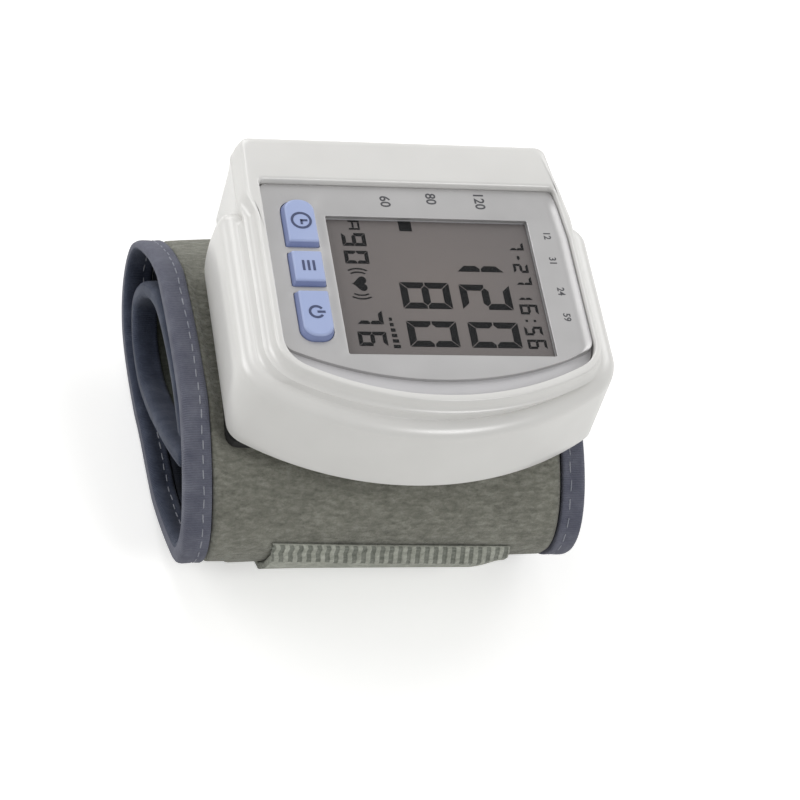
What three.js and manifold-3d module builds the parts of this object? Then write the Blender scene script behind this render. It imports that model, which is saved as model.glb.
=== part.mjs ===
// Wrist blood pressure monitor: a white case with a display and three keys on a rolled-up wrist cuff.
// Millimetres. +X is the way the wrist passes through the cuff, -Y the rounded front of the case, +Z up.
// Case pieces are placed from the middle of the case's underside, cuff pieces from the bracket's spigot,
// and the finished group stands with its origin at the bottom centre of its bounding box.

import * as THREE from 'three';
import { mergeVertices } from 'three/addons/utils/BufferGeometryUtils.js';
import Module from 'manifold-3d';

const wasm = await Module();
wasm.setup();

// Counts of facets
const arcSteps = 20;
const cornerSteps = 6;
const smallSteps = 4;
const roundSteps = 24;
const tubeSteps = 16;
const loopSteps = 64;
const flapSteps = 30;

// Where the middle rings of a rounded edge lie, as shares of its radius, and of a straight side's points
const edgeShare = 1 / 3;
const softShare = 1 / 6;
const sideShares = [1 / 3, 2 / 3];

// Clearances
const gap = 0.3;
const fineGap = 0.15;
const overrun = 1;

// Battery space: two cells side by side and their contacts set the case's width
const cellRadius = 5.25;
const cellLength = 43.7;
const cellNubLength = 0.8;
const cellSpan = cellLength + cellNubLength;
const cellWallThickness = 1.2;
const contactSpace = 4.75;
const coverHalfWidth = cellSpan / 2 + contactSpace;
const cellWallX = coverHalfWidth + gap + cellWallThickness;

// Case: distances from the battery space to the sunk face's sides, and from these to the outside
const faceLeftMargin = 0.7;
const faceRightMargin = 4.37;
const faceLeftX = -cellWallX - faceLeftMargin;
const faceRightX = cellWallX + faceRightMargin;
const skirtLeftSpread = 8.2;
const skirtRightSpread = 6.43;
const barLeftSpread = 3.1;
const barRightSpread = 0.83;
const barFlareLeftSpread = 3.4;
const barFlareRightSpread = 2.23;

// Case: outside
const caseHeight = 22.9;
const caseFarY = 35.05;
const caseFrontY = -34.93;
const skirtLeftX = faceLeftX - skirtLeftSpread;
const skirtRightX = faceRightX + skirtRightSpread;
const skirtFarY = 19.8;
const skirtFarCorner = 4.6;
const skirtArcRadius = 58.9;
const skirtNearCorner = 10.9;
const footRightInset = 1.1;
const footFrontInset = 0.63;
const footArcRadius = 64;
const footNearCorner = 5.4;
const ridgeHeight = 18.2;
const ridgeSoftness = 1.8;
const valleyHeight = 20.2;
const wall = 2;

// Case: sunk face and its rim
const faceFarY = 24.06;
const faceFrontY = -28.47;
const faceArcRadius = 58;
const faceNearCorner = 7.4;
const faceFarCorner = 1.2;
const rimWidth = 1.8;
const rimFootLeft = 3.4;
const rimFootRight = 3;
const rimFootFront = 2.6;
const rimRound = 0.7;
const faceDepth = 1.5;

// Case: raised bar along the far edge
const barLeftX = faceLeftX - barLeftSpread;
const barRightX = faceRightX + barRightSpread;
const barFlareLeftX = faceLeftX - barFlareLeftSpread;
const barFlareRightX = faceRightX + barFlareRightSpread;
const barFlareY = 21.4;
const barNeckY = 17;
const barCorner = 2.2;
const barRound = 1.3;
const barHollowY = 26.5;

// Face panel
const panelThickness = 1.0;
const panelStep = 0.8;
const panelEdgeRound = 0.2;
const panelFrontY = -24.1;
const panelArcRadius = 68;
const panelNearCorner = 3;
const floorThickness = 1.25;

// Display
const windowLeftMargin = 12.8;
const windowRightMargin = 6.83;
const windowLeftX = faceLeftX + windowLeftMargin;
const windowRightX = faceRightX - windowRightMargin;
const windowFarY = 17.02;
const windowFrontY = -17.89;
const windowDepth = 0.25;
const lensThickness = 0.65;
const glassThickness = 2.0;
const frameOverlap = 1.5;
const frameBorder = 0.8;
const frameHeight = 2.9;
const stripWidth = 2;

// Keys
const keyMargin = 7.35;
const keyCenterX = faceLeftX + keyMargin;
const keyWidth = 6.1;
const keyDraft = 0.55;
const keyProud = 1.2;
const keyFarY = 20.2;
const timeKeyLength = 10.9;
const memoryKeyLength = 7.6;
const powerKeyLength = 11.2;
const keySpacing = 2.45;
const keyRoundEnd = 2.6;
const keyCorner = 0.6;
const keyEdgeRound = 0.35;
const keyFlangeWidth = 1.6;
const keyFlangeHeight = 1;
const keyTravel = 0.5;
const keyFreePlay = 0.25;
const switchSize = 4.5;
const switchHeight = 1;
const switchBodyHeight = 0.65;
const switchPlungerRadius = 1.1;

// Circuit board and what it carries
const boardThickness = 1.2;
const boardMargin = 0.3;
const boardHalfWidth = cellWallX - boardMargin;
const boardFrontY = -25;
const boardFarY = 23;
const boardArcRadius = 60;
const boardCorner = 5;
const sensorSize = 8;
const sensorHeight = 3.4;
const buzzerRadius = 4.5;
const buzzerHeight = 2.5;
const buzzerMargin = 8.2;
const buzzerX = boardHalfWidth - buzzerMargin;
const buzzerY = -17;
const boardPostLeftMargin = 4.4;
const boardPostRightMargin = 13.04;
const boardPostLeftX = windowLeftX + boardPostLeftMargin;
const boardPostRightX = windowRightX - boardPostRightMargin;
const boardPostNearY = -21.2;
const boardPostFarY = 21;
const boardPostRadius = 1.7;
const boardScrewRadius = 0.7;
const boardScrewHeadRadius = 1.5;
const boardScrewHeadHeight = 0.6;
const boardScrewLength = 3.2;

// Base and case screws
const baseThickness = 1.8;
const postY = 10;
const postRadius = 2.4;
const postX = cellWallX + gap + postRadius;
const screwHeadRadius = 1.8;
const screwHeadHeight = 0.7;
const screwShankRadius = 0.8;
const screwLength = 9;
const screwSlotWidth = 0.5;
const screwSlotLengthShare = 0.6;
const screwSlotDepthShare = 0.5;

// Cells, contacts and battery cover
const cellNubRadius = 1.9;
const cellEndRound = 0.5;
const cellNearY = 10.1;
const contactSize = 8;
const contactThickness = 0.5;
const springBaseRadius = 3.4;
const springTipRadius = 2.4;
const bumpRadius = 2.2;
const contactHeight = 8.8;
const coverHeight = 14.7;
const gripWidth = 16;
const gripHeight = 0.8;
const gripDepth = 0.5;
const gripPitch = 2.2;
const gripCount = 3;

// Air circuit
const motorRadius = 5;
const motorLength = 17;
const motorNeck = 0.8;
const motorReach = 23.7;
const headLength = 11.7;
const headWidth = 12;
const headHeight = 10;
const headChamfer = 1.2;
const nippleRadius = 1.1;
const nippleLength = 2.5;
const nippleSpace = 1.2;
const tubeWall = 0.8;
const manifoldSize = 8;
const valveRadius = 4.2;
const valveLength = 16;
const valveNeck = 0.8;
const nozzleRadius = 1.8;

// Cuff bracket and its lock ring
const spigotX = -4.3;
const spigotY = -2;
const spigotRadius = 6;
const spigotGroove = 1;
const spigotLip = 0.8;
const ringHeight = 1;
const ringWidth = 2.2;
const ringOpening = 5;
const bracketThickness = 1.6;
const bracketHalfLength = 32.5;
const bracketHalfWidth = 19.3;
const bracketCorner = 2.5;

// Cuff: a flattened ring of cloth, turned a little on the bracket
const cuffTurn = THREE.MathUtils.degToRad(2.3);
const cuffHalfLength = 41.7;
const cuffDepthRadius = 39.4;
const cuffHeightRadius = 22.6;
const cuffAheadY = 7.04;
const cuffFootFlat = 1;
const coverCloth = 1.2;
const bladderThickness = 1;
const liningCloth = 1.2;
const bindingWidth = 5.5;
const bindingProud = 0.3;
const bindingRound = 1.1;
const bladderStartAngle = -25;
const bladderEndAngle = 205;
const bladderMargin = 5.9;

// Cuff: its inner end, curled inside it, and the closing strap
const flapThickness = 2.4;
const flapInset = 0.6;
const flapRouteShares = [
  [-0.12, 0.78], [0.12, 0.78], [0.35, 0.7], [0.56, 0.5], [0.76, 0.14], [0.87, -0.22],
  [0.84, -0.4], [0.66, -0.62], [0.4, -0.66], [0.14, -0.46], [-0.14, -0.14], [-0.42, 0.22], [-0.62, 0.56],
];
const strapThickness = 0.9;
const strapStartX = -23.2;
const strapWidth = 51.5;
const strapStartAngle = 170;
const strapEndAngle = 237;

// Heights in the case, from the top down and from the base up
const panelTop = caseHeight - faceDepth;
const ledgeTop = panelTop - panelStep;
const panelBottom = ledgeTop - panelThickness;
const floorTop = panelBottom - fineGap;
const ceiling = floorTop - floorThickness;
const lensTop = panelTop - windowDepth;
const lensBottom = lensTop - lensThickness;
const glassTop = lensBottom - fineGap;
const glassBottom = glassTop - glassThickness;
const frameTop = Math.min(glassBottom, ceiling) - gap;
const frameBottom = frameTop - frameHeight;
const boardTop = frameBottom - fineGap;
const boardBottom = boardTop - boardThickness;
const skirtCeiling = ridgeHeight - ridgeSoftness - wall / 2;
const inBase = baseThickness + gap;
const coverWallBottomY = caseFarY - wall;

// Solids and meshes

function toSolid(geometry) {
  const bare = geometry.index ? geometry.clone() : geometry;
  bare.deleteAttribute('normal');
  bare.deleteAttribute('uv');
  const merged = mergeVertices(bare);
  return new wasm.Manifold(new wasm.Mesh({
    numProp: 3,
    vertProperties: new Float32Array(merged.attributes.position.array),
    triVerts: new Uint32Array(merged.index.array),
  }));
}

function toGeometry(solid) {
  const mesh = solid.getMesh();
  const geometry = new THREE.BufferGeometry();
  geometry.setAttribute('position', new THREE.BufferAttribute(new Float32Array(mesh.vertProperties), 3));
  geometry.setIndex(new THREE.BufferAttribute(new Uint32Array(mesh.triVerts), 1));
  geometry.computeVertexNormals();
  return geometry;
}

const join = (...solids) => solids.reduce((sum, solid) => sum.add(solid));

const cut = (solid, ...tools) => tools.reduce((rest, tool) => rest.subtract(tool), solid);

// A closed skin over rings of equal count, listed from the lowest to the highest
function loft(rings) {
  const count = rings[0].length;
  const positions = rings.flat().flatMap((point) => [point.x, point.y, point.z]);
  const index = [];
  for (let r = 0; r + 1 < rings.length; r += 1) {
    for (let i = 0; i < count; i += 1) {
      const next = (i + 1) % count;
      const low = r * count;
      const high = low + count;
      index.push(low + i, low + next, high + next);
      index.push(low + i, high + next, high + i);
    }
  }
  const cap = (ring, start, flip) => {
    const flat = ring.map((point) => new THREE.Vector2(point.x, point.y));
    for (const [a, b, c] of THREE.ShapeUtils.triangulateShape(flat, [])) {
      const face = flip ? [c, b, a] : [a, b, c];
      index.push(...face.map((corner) => start + corner));
    }
  };
  cap(rings[0], 0, true);
  cap(rings[rings.length - 1], (rings.length - 1) * count, false);
  const geometry = new THREE.BufferGeometry();
  geometry.setAttribute('position', new THREE.Float32BufferAttribute(positions, 3));
  geometry.setIndex(index);
  return toSolid(geometry);
}

const atHeight = (points, z) => points.map((point) => new THREE.Vector3(point.x, point.y, z));

const slab = (points, bottom, top) => loft([atHeight(points, bottom), atHeight(points, top)]);

function box(x0, x1, y0, y1, z0, z1) {
  const geometry = new THREE.BoxGeometry(x1 - x0, y1 - y0, z1 - z0);
  geometry.translate((x0 + x1) / 2, (y0 + y1) / 2, (z0 + z1) / 2);
  return toSolid(geometry);
}

function lathe(profile, steps = roundSteps) {
  const points = profile.map(([radius, height]) => new THREE.Vector2(radius, height));
  const geometry = new THREE.LatheGeometry(points, steps);
  geometry.rotateX(Math.PI / 2);
  return geometry;
}

function rod(radius, bottom, top, steps = roundSteps) {
  return lathe([[0, bottom], [radius, bottom], [radius, top], [0, top]], steps);
}

const place = (geometry, x, y, z) => toSolid(geometry.translate(x, y, z));

const alongX = (geometry) => geometry.rotateY(Math.PI / 2);

const alongY = (geometry) => geometry.rotateX(-Math.PI / 2);

// An outline in the YZ plane, drawn out along X
function alongCuff(outline, x0, x1) {
  const ring = (x) => outline.map((point) => new THREE.Vector3(x, point.x, point.y));
  return loftAlongX([ring(x0), ring(x1)]);
}

// The loft of rings that face along X: the cap is triangulated in the YZ plane
function loftAlongX(rings) {
  const turned = rings.map((ring) => ring.map((point) => new THREE.Vector3(point.y, point.z, point.x)));
  const geometry = toGeometry(loft(turned));
  geometry.applyMatrix4(new THREE.Matrix4().makeBasis(
    new THREE.Vector3(0, 1, 0), new THREE.Vector3(0, 0, 1), new THREE.Vector3(1, 0, 0),
  ));
  return toSolid(geometry);
}

// Outlines of the case

function arc(center, radius, from, to, steps) {
  const points = [];
  for (let i = 0; i <= steps; i += 1) {
    const angle = THREE.MathUtils.lerp(from, to, i / steps);
    points.push(new THREE.Vector2(
      center.x + radius * Math.cos(angle),
      center.y + radius * Math.sin(angle),
    ));
  }
  return points;
}

// Straight sides, a round front with rounded corners, and a far edge that may be narrower.
// The front's arc is centred between the sides unless a middle is given.
// It runs anticlockwise seen from above, from the far left corner, with the same count for any sizes.
function faceOutline(o) {
  const middle = o.middle ?? (o.left + o.right) / 2;
  const centerY = o.front + o.arcRadius;
  const reach = o.arcRadius - o.nearCorner;
  const turnLeft = Math.asin((middle - o.left - o.nearCorner) / reach);
  const turnRight = Math.asin((o.right - middle - o.nearCorner) / reach);
  const cornerLeftY = centerY - reach * Math.cos(turnLeft);
  const cornerRightY = centerY - reach * Math.cos(turnRight);
  const cornerY = (cornerLeftY + cornerRightY) / 2;
  const farLeft = o.farLeft ?? o.left;
  const farRight = o.farRight ?? o.right;
  const flareLeft = o.flareLeft ?? o.left;
  const flareRight = o.flareRight ?? o.right;
  const flareY = o.flareY ?? THREE.MathUtils.lerp(cornerY, o.far - o.farCorner, sideShares[1]);
  const neckY = o.neckY ?? THREE.MathUtils.lerp(cornerY, o.far - o.farCorner, sideShares[0]);
  const down = -Math.PI / 2;
  return [
    ...arc(new THREE.Vector2(farLeft + o.farCorner, o.far - o.farCorner), o.farCorner,
      Math.PI / 2, Math.PI, cornerSteps),
    new THREE.Vector2(flareLeft, flareY),
    new THREE.Vector2(o.left, neckY),
    ...arc(new THREE.Vector2(o.left + o.nearCorner, cornerLeftY), o.nearCorner,
      Math.PI, 2 * Math.PI + down - turnLeft, cornerSteps),
    ...arc(new THREE.Vector2(middle, centerY), o.arcRadius,
      down - turnLeft, down + turnRight, arcSteps).slice(1, -1),
    ...arc(new THREE.Vector2(o.right - o.nearCorner, cornerRightY), o.nearCorner,
      down + turnRight, 0, cornerSteps),
    new THREE.Vector2(o.right, neckY),
    new THREE.Vector2(flareRight, flareY),
    ...arc(new THREE.Vector2(farRight - o.farCorner, o.far - o.farCorner), o.farCorner,
      0, Math.PI / 2, cornerSteps),
  ];
}

// The sunk face's outline, grown outwards by one value or by one for each side
function grownFace(left, right = left, front = left, far = left) {
  return faceOutline({
    left: faceLeftX - left,
    right: faceRightX + right,
    front: faceFrontY - front,
    far: faceFarY + far,
    arcRadius: faceArcRadius + front,
    nearCorner: faceNearCorner + front,
    farCorner: faceFarCorner,
  });
}

// The case's upright body: the rim round the face, and the bar behind it
function bodyOutline(left, right, front, inset) {
  return faceOutline({
    left: faceLeftX - left,
    right: faceRightX + right,
    front: faceFrontY - front,
    far: caseFarY - inset,
    arcRadius: faceArcRadius + front,
    nearCorner: faceNearCorner + front,
    farCorner: barCorner,
    farLeft: barLeftX + inset,
    farRight: barRightX - inset,
    flareLeft: barFlareLeftX + inset,
    flareRight: barFlareRightX - inset,
    flareY: barFlareY,
    neckY: barNeckY,
  });
}

// The skirt's outline: share 0 is its foot and share 1 its ridge
function skirtOutline(share, inset) {
  const mix = (foot, ridge) => THREE.MathUtils.lerp(foot, ridge, share);
  return faceOutline({
    middle: 0,
    left: skirtLeftX + inset,
    right: mix(skirtRightX - footRightInset, skirtRightX) - inset,
    front: mix(caseFrontY + footFrontInset, caseFrontY) + inset,
    far: skirtFarY - inset,
    arcRadius: mix(footArcRadius, skirtArcRadius) - inset,
    nearCorner: mix(footNearCorner, skirtNearCorner) - inset,
    farCorner: skirtFarCorner - inset,
  });
}

const valleyOutline = faceOutline({
  left: faceLeftX - rimFootLeft - gap,
  right: faceRightX + rimFootRight + gap,
  front: faceFrontY - rimFootFront - gap,
  far: barNeckY,
  arcRadius: faceArcRadius + rimFootFront,
  nearCorner: faceNearCorner + rimFootFront,
  farCorner: faceFarCorner,
});

const windowOutline = (grow) => [
  new THREE.Vector2(windowLeftX - grow, windowFrontY - grow),
  new THREE.Vector2(windowRightX + grow, windowFrontY - grow),
  new THREE.Vector2(windowRightX + grow, windowFarY + grow),
  new THREE.Vector2(windowLeftX - grow, windowFarY + grow),
];

// Keys, from the far one to the near one
const timeKeyY = keyFarY - timeKeyLength;
const memoryKeyY = timeKeyY - keySpacing - memoryKeyLength;
const powerKeyY = memoryKeyY - keySpacing - powerKeyLength;
const keys = [
  { name: 'time', near: timeKeyY, far: keyFarY, nearRound: keyCorner, farRound: keyRoundEnd },
  { name: 'memory', near: memoryKeyY, far: memoryKeyY + memoryKeyLength, nearRound: keyCorner,
    farRound: keyCorner },
  { name: 'power', near: powerKeyY, far: powerKeyY + powerKeyLength, nearRound: keyRoundEnd,
    farRound: keyCorner },
];

// A rectangle with rounded corners, of one radius at its near edge and one at its far edge
function roundedBox(left, right, near, far, nearRound, farRound) {
  const corner = (x, y, radius, from) => arc(
    new THREE.Vector2(x, y), radius, from, from + Math.PI / 2, smallSteps,
  );
  return [
    ...corner(left + nearRound, near + nearRound, nearRound, Math.PI),
    ...corner(right - nearRound, near + nearRound, nearRound, -Math.PI / 2),
    ...corner(right - farRound, far - farRound, farRound, 0),
    ...corner(left + farRound, far - farRound, farRound, Math.PI / 2),
  ];
}

function keyOutline(key, grow, sideGrow = grow) {
  const halfX = keyWidth / 2 + sideGrow;
  return roundedBox(keyCenterX - halfX, keyCenterX + halfX, key.near - grow, key.far + grow,
    Math.max(key.nearRound + grow, keyCorner / 2), Math.max(key.farRound + grow, keyCorner / 2));
}

// The case's hollow, at a distance inside its walls: under the skirt, under the face and in the bar
function hollow(inset, bottom) {
  const skirtHollow = loft([
    atHeight(skirtOutline(0, wall + inset), bottom),
    atHeight(skirtOutline(1, wall + inset), skirtCeiling - inset),
  ]);
  const bodyHollow = slab(bodyOutline(-inset, -inset, -inset, wall + inset), bottom, ceiling - inset);
  return join(skirtHollow, bodyHollow);
}

const screwPlaces = [[-postX, -postY], [postX, -postY], [-postX, postY], [postX, postY]];
const boardScrewPlaces = [
  [boardPostLeftX, boardPostNearY], [boardPostRightX, boardPostNearY],
  [boardPostLeftX, boardPostFarY], [boardPostRightX, boardPostFarY],
];

// How far a rounded top edge has drawn in at a height
const roundedIn = (radius, z) => radius - Math.sqrt(radius ** 2 - Math.max(z - caseHeight + radius, 0) ** 2);

// The upright body's outline at a height, with the rim's foot at given distances from the sunk face
function bodyRing(z, left, right = left, front = left) {
  const rim = roundedIn(rimRound, z);
  return atHeight(bodyOutline(left - rim, right - rim, front - rim, roundedIn(barRound, z)), z);
}

function upperCase() {
  const body = loft([
    bodyRing(0, rimFootLeft, rimFootRight, rimFootFront),
    bodyRing(valleyHeight, rimFootLeft, rimFootRight, rimFootFront),
    bodyRing(valleyHeight + rimRound, rimWidth + rimRound / 2),
    bodyRing(caseHeight - barRound / 2, rimWidth + rimRound * softShare),
    bodyRing(caseHeight - rimRound / 2, rimWidth),
    bodyRing(caseHeight - rimRound * softShare, rimWidth),
    bodyRing(caseHeight, rimWidth),
  ]);
  const skirt = loft([
    atHeight(skirtOutline(0, 0), 0),
    atHeight(skirtOutline(1, 0), ridgeHeight - ridgeSoftness),
    atHeight(skirtOutline(1, ridgeSoftness * softShare), ridgeHeight - ridgeSoftness / 2),
    atHeight(skirtOutline(1, ridgeSoftness / 2), ridgeHeight - ridgeSoftness * softShare),
    atHeight(skirtOutline(1, ridgeSoftness), ridgeHeight),
    atHeight(valleyOutline, valleyHeight),
  ]);
  const recess = loft([
    atHeight(grownFace(0), floorTop),
    atHeight(grownFace(0), caseHeight - rimRound / 2),
    atHeight(grownFace(rimRound), caseHeight + rimRound / 2),
  ]);
  const posts = screwPlaces.map(([x, y]) => place(rod(postRadius, inBase, skirtCeiling + wall / 2), x, y, 0));
  const bores = screwPlaces.map(([x, y]) => place(
    rod(screwShankRadius + gap, -overrun, screwLength + gap + overrun, tubeSteps), x, y, 0,
  ));
  const keyHoles = keys.map((key) => slab(keyOutline(key, keyDraft + gap), ceiling - overrun,
    floorTop + overrun));
  const boardPosts = boardScrewPlaces.map(([x, y]) => place(
    rod(boardPostRadius, boardTop + fineGap, ceiling + floorThickness / 2, tubeSteps), x, y, 0,
  ));
  const boardBores = boardScrewPlaces.map(([x, y]) => place(
    rod(boardScrewRadius + gap, boardTop - overrun, boardBottom + boardScrewLength + gap, tubeSteps), x, y, 0,
  ));
  return cut(
    join(cut(join(body, skirt), hollow(0, -overrun)), ...posts, ...boardPosts),
    recess,
    box(barLeftX + wall, barRightX - wall, barHollowY, coverWallBottomY,
      ceiling - overrun, caseHeight - wall),
    slab(windowOutline(0), ceiling - overrun, floorTop + overrun),
    ...keyHoles,
    ...bores,
    ...boardBores,
    box(-coverHalfWidth - gap, coverHalfWidth + gap, coverWallBottomY - overrun, caseFarY + overrun,
      -overrun, coverHeight + gap),
  );
}

function facePanel() {
  const full = slab(grownFace(-fineGap), panelBottom, ledgeTop);
  const raised = (grow) => faceOutline({
    left: faceLeftX - grow,
    right: faceRightX + grow,
    front: panelFrontY - grow,
    far: faceFarY + grow,
    arcRadius: panelArcRadius + grow,
    nearCorner: panelNearCorner,
    farCorner: faceFarCorner,
  });
  const step = loft([
    atHeight(raised(-fineGap), ledgeTop - panelThickness / 2),
    atHeight(raised(-fineGap), panelTop - panelEdgeRound),
    atHeight(raised(-fineGap - panelEdgeRound), panelTop),
  ]);
  return cut(
    join(full, step),
    slab(windowOutline(0), panelBottom - overrun, panelTop + overrun),
    ...keys.map((key) => slab(keyOutline(key, keyDraft + gap), panelBottom - overrun,
      panelTop + overrun)),
  );
}

function keyCap(key) {
  const top = panelTop + keyProud;
  const flangeTop = ceiling - gap;
  const cap = loft([
    atHeight(keyOutline(key, keyDraft), flangeTop - keyFlangeHeight / 2),
    atHeight(keyOutline(key, keyDraft), panelTop),
    atHeight(keyOutline(key, 0), top - keyEdgeRound),
    atHeight(keyOutline(key, -keyEdgeRound * edgeShare), top - keyEdgeRound * edgeShare),
    atHeight(keyOutline(key, -keyEdgeRound), top),
  ]);
  return join(cap, slab(keyOutline(key, 0, keyFlangeWidth), flangeTop - keyFlangeHeight, flangeTop));
}

const keyBottom = ceiling - gap - keyFlangeHeight;

function keySwitch(key) {
  const middle = (key.near + key.far) / 2;
  const half = switchSize / 2;
  const bottom = boardTop + fineGap;
  const top = Math.min(bottom + switchHeight, keyBottom - keyTravel - keyFreePlay);
  return join(
    box(keyCenterX - half, keyCenterX + half, middle - half, middle + half,
      bottom, bottom + switchBodyHeight),
    place(rod(switchPlungerRadius, bottom + switchBodyHeight / 2, top, tubeSteps), keyCenterX, middle, 0),
  );
}

const lensSolid = () => slab(windowOutline(-fineGap), lensBottom, lensTop);

const glassSolid = () => slab(windowOutline(-fineGap), glassBottom, glassTop);

const frameSolid = () => cut(
  slab(windowOutline(frameBorder), frameBottom, frameTop),
  slab(windowOutline(-frameOverlap), frameBottom - overrun, frameTop + overrun),
);

function contactStrip() {
  const near = windowFrontY + frameOverlap + gap;
  const inset = frameOverlap + gap;
  return box(windowLeftX + inset, windowRightX - inset, near, near + stripWidth,
    frameBottom, glassBottom - fineGap);
}

const boardOutline = faceOutline({
  left: -boardHalfWidth,
  right: boardHalfWidth,
  front: boardFrontY,
  far: boardFarY,
  arcRadius: boardArcRadius,
  nearCorner: boardCorner,
  farCorner: boardCorner / 2,
});

const circuitBoard = () => cut(
  slab(boardOutline, boardBottom, boardTop),
  ...boardScrewPlaces.map(([x, y]) => place(
    rod(boardScrewRadius + gap, boardBottom - overrun, boardTop + overrun, tubeSteps), x, y, 0,
  )),
);

// A cross-slotted screw with its head's face at z 0 and its shank standing up
function screw(headRadius, headHeight, shankRadius, length) {
  const body = toSolid(lathe([
    [0, 0], [headRadius, 0], [headRadius, headHeight], [shankRadius, headHeight],
    [shankRadius, length - shankRadius], [0, length],
  ], tubeSteps));
  const long = headRadius * screwSlotLengthShare;
  const half = screwSlotWidth / 2;
  return cut(
    body,
    box(-long, long, -half, half, -overrun, headHeight * screwSlotDepthShare),
    box(-half, half, -long, long, -overrun, headHeight * screwSlotDepthShare),
  );
}

const caseScrew = (x, y) => screw(screwHeadRadius, screwHeadHeight, screwShankRadius, screwLength)
  .translate([x, y, fineGap]);

const boardScrew = (x, y) => screw(boardScrewHeadRadius, boardScrewHeadHeight, boardScrewRadius,
  boardScrewLength + boardScrewHeadHeight)
  .translate([x, y, boardBottom - fineGap - boardScrewHeadHeight]);

// Air circuit: the pump's head feeds the manifold on the spigot's axis, and the valve empties it
const motorAxisZ = inBase + motorRadius;
const motorX = spigotX - motorReach;
const headX = motorX + motorLength + gap;
const manifoldNearY = spigotY - manifoldSize / 2;
const headFarY = manifoldNearY - 2 * nippleLength - nippleSpace;
const headNearY = headFarY - headWidth;
const headAxisY = (headNearY + headFarY) / 2;
const nippleZ = motorAxisZ;
const spigotTop = inBase + ringHeight + gap + spigotLip;
const manifoldBottom = spigotTop + gap;
const manifoldTop = boardBottom - fineGap - sensorHeight - gap;
const tubeRadius = nippleRadius + gap + tubeWall;
const nippleReach = nippleLength * 2 + nippleSpace - 2 * gap;

const nippleRod = (length) => rod(nippleRadius, -nippleRadius, length, tubeSteps);

function pumpMotor() {
  const profile = [
    [0, 0], [motorRadius - motorNeck, 0], [motorRadius, motorNeck], [motorRadius, motorLength - motorNeck],
    [motorRadius - motorNeck, motorLength - motorNeck], [motorRadius - motorNeck, motorLength],
    [0, motorLength],
  ];
  return place(alongX(lathe(profile)), motorX, headAxisY, motorAxisZ);
}

function pumpHead() {
  const low = inBase;
  const high = inBase + headHeight;
  const outline = (inset) => [
    new THREE.Vector2(headX + inset, headNearY + inset),
    new THREE.Vector2(headX + headLength - inset, headNearY + inset),
    new THREE.Vector2(headX + headLength - inset, headFarY - inset),
    new THREE.Vector2(headX + inset, headFarY - inset),
  ];
  const block = loft([
    atHeight(outline(0), low),
    atHeight(outline(0), high - headChamfer),
    atHeight(outline(headChamfer), high),
  ]);
  return join(block, place(alongY(nippleRod(nippleLength)), spigotX, headFarY, nippleZ));
}

function airTube() {
  const inner = nippleRadius + gap;
  return lathe([
    [inner, 0], [tubeRadius, 0], [tubeRadius, nippleReach], [inner, nippleReach], [inner, 0],
  ], tubeSteps);
}

const manifoldRightX = spigotX + manifoldSize / 2;
const valveX = manifoldRightX + 2 * nippleLength + nippleSpace;

function airManifold() {
  const half = manifoldSize / 2;
  const nozzleBottom = cuffTop - bladderInset + gap;
  return cut(
    join(
      box(spigotX - half, spigotX + half, spigotY - half, spigotY + half, manifoldBottom, manifoldTop),
      place(alongY(nippleRod(nippleLength).rotateX(Math.PI)), spigotX, manifoldNearY, nippleZ),
      place(alongX(nippleRod(nippleLength)), manifoldRightX, spigotY, nippleZ),
      place(rod(nozzleRadius, nozzleBottom, manifoldBottom + half, tubeSteps), spigotX, spigotY, 0),
    ),
    place(rod(nozzleRadius / 2, nozzleBottom - overrun, nippleZ, tubeSteps), spigotX, spigotY, 0),
  );
}

function releaseValve() {
  const profile = [
    [0, 0], [valveRadius - valveNeck, 0], [valveRadius, valveNeck], [valveRadius, valveLength - valveNeck],
    [valveRadius - valveNeck, valveLength], [0, valveLength],
  ];
  return join(
    place(alongX(lathe(profile)), valveX, spigotY, nippleZ),
    place(alongX(nippleRod(nippleLength).rotateX(Math.PI)), valveX, spigotY, nippleZ),
  );
}

function pressureSensor() {
  const half = sensorSize / 2;
  const top = boardBottom - fineGap;
  return box(spigotX - half, spigotX + half, spigotY - half, spigotY + half, top - sensorHeight, top);
}

const buzzerSolid = () => place(
  rod(buzzerRadius, boardBottom - fineGap - buzzerHeight, boardBottom - fineGap), buzzerX, buzzerY, 0,
);

// Base, battery space and cover
const cellWallFarY = cellNearY - gap;
const cellWallNearY = cellWallFarY - cellWallThickness;
const cellAxisZ = inBase + cellRadius;
const cellYs = [cellNearY + cellRadius, cellNearY + cellRadius + gap + 2 * cellRadius];
const cellWallTop = inBase + 2 * cellRadius;
const baseCutX = coverHalfWidth + gap;

function lowerCase() {
  const plate = hollow(gap, -overrun).intersect(
    box(skirtLeftX, skirtRightX, caseFrontY, caseFarY, 0, baseThickness),
  );
  const walls = hollow(gap, -overrun).intersect(join(
    box(-baseCutX - cellWallThickness, -baseCutX, cellWallNearY, coverWallBottomY - gap, 0, cellWallTop),
    box(baseCutX, baseCutX + cellWallThickness, cellWallNearY, coverWallBottomY - gap, 0, cellWallTop),
    box(-baseCutX - cellWallThickness, baseCutX + cellWallThickness, cellWallNearY, cellWallFarY,
      0, cellWallTop),
  ));
  const opening = box(-baseCutX, baseCutX, cellWallFarY, caseFarY + overrun, -overrun, cellWallTop + overrun);
  const seats = screwPlaces.map(([x, y]) => place(
    rod(screwHeadRadius + gap, -overrun, screwHeadHeight + gap, tubeSteps), x, y, 0,
  ));
  const holes = screwPlaces.map(([x, y]) => place(
    rod(screwShankRadius + gap, -overrun, baseThickness + overrun, tubeSteps), x, y, 0,
  ));
  const spigotHole = place(rod(spigotRadius + gap, -overrun, baseThickness + overrun), spigotX, spigotY, 0);
  return cut(join(plate, walls), opening, spigotHole, ...seats, ...holes);
}

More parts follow.
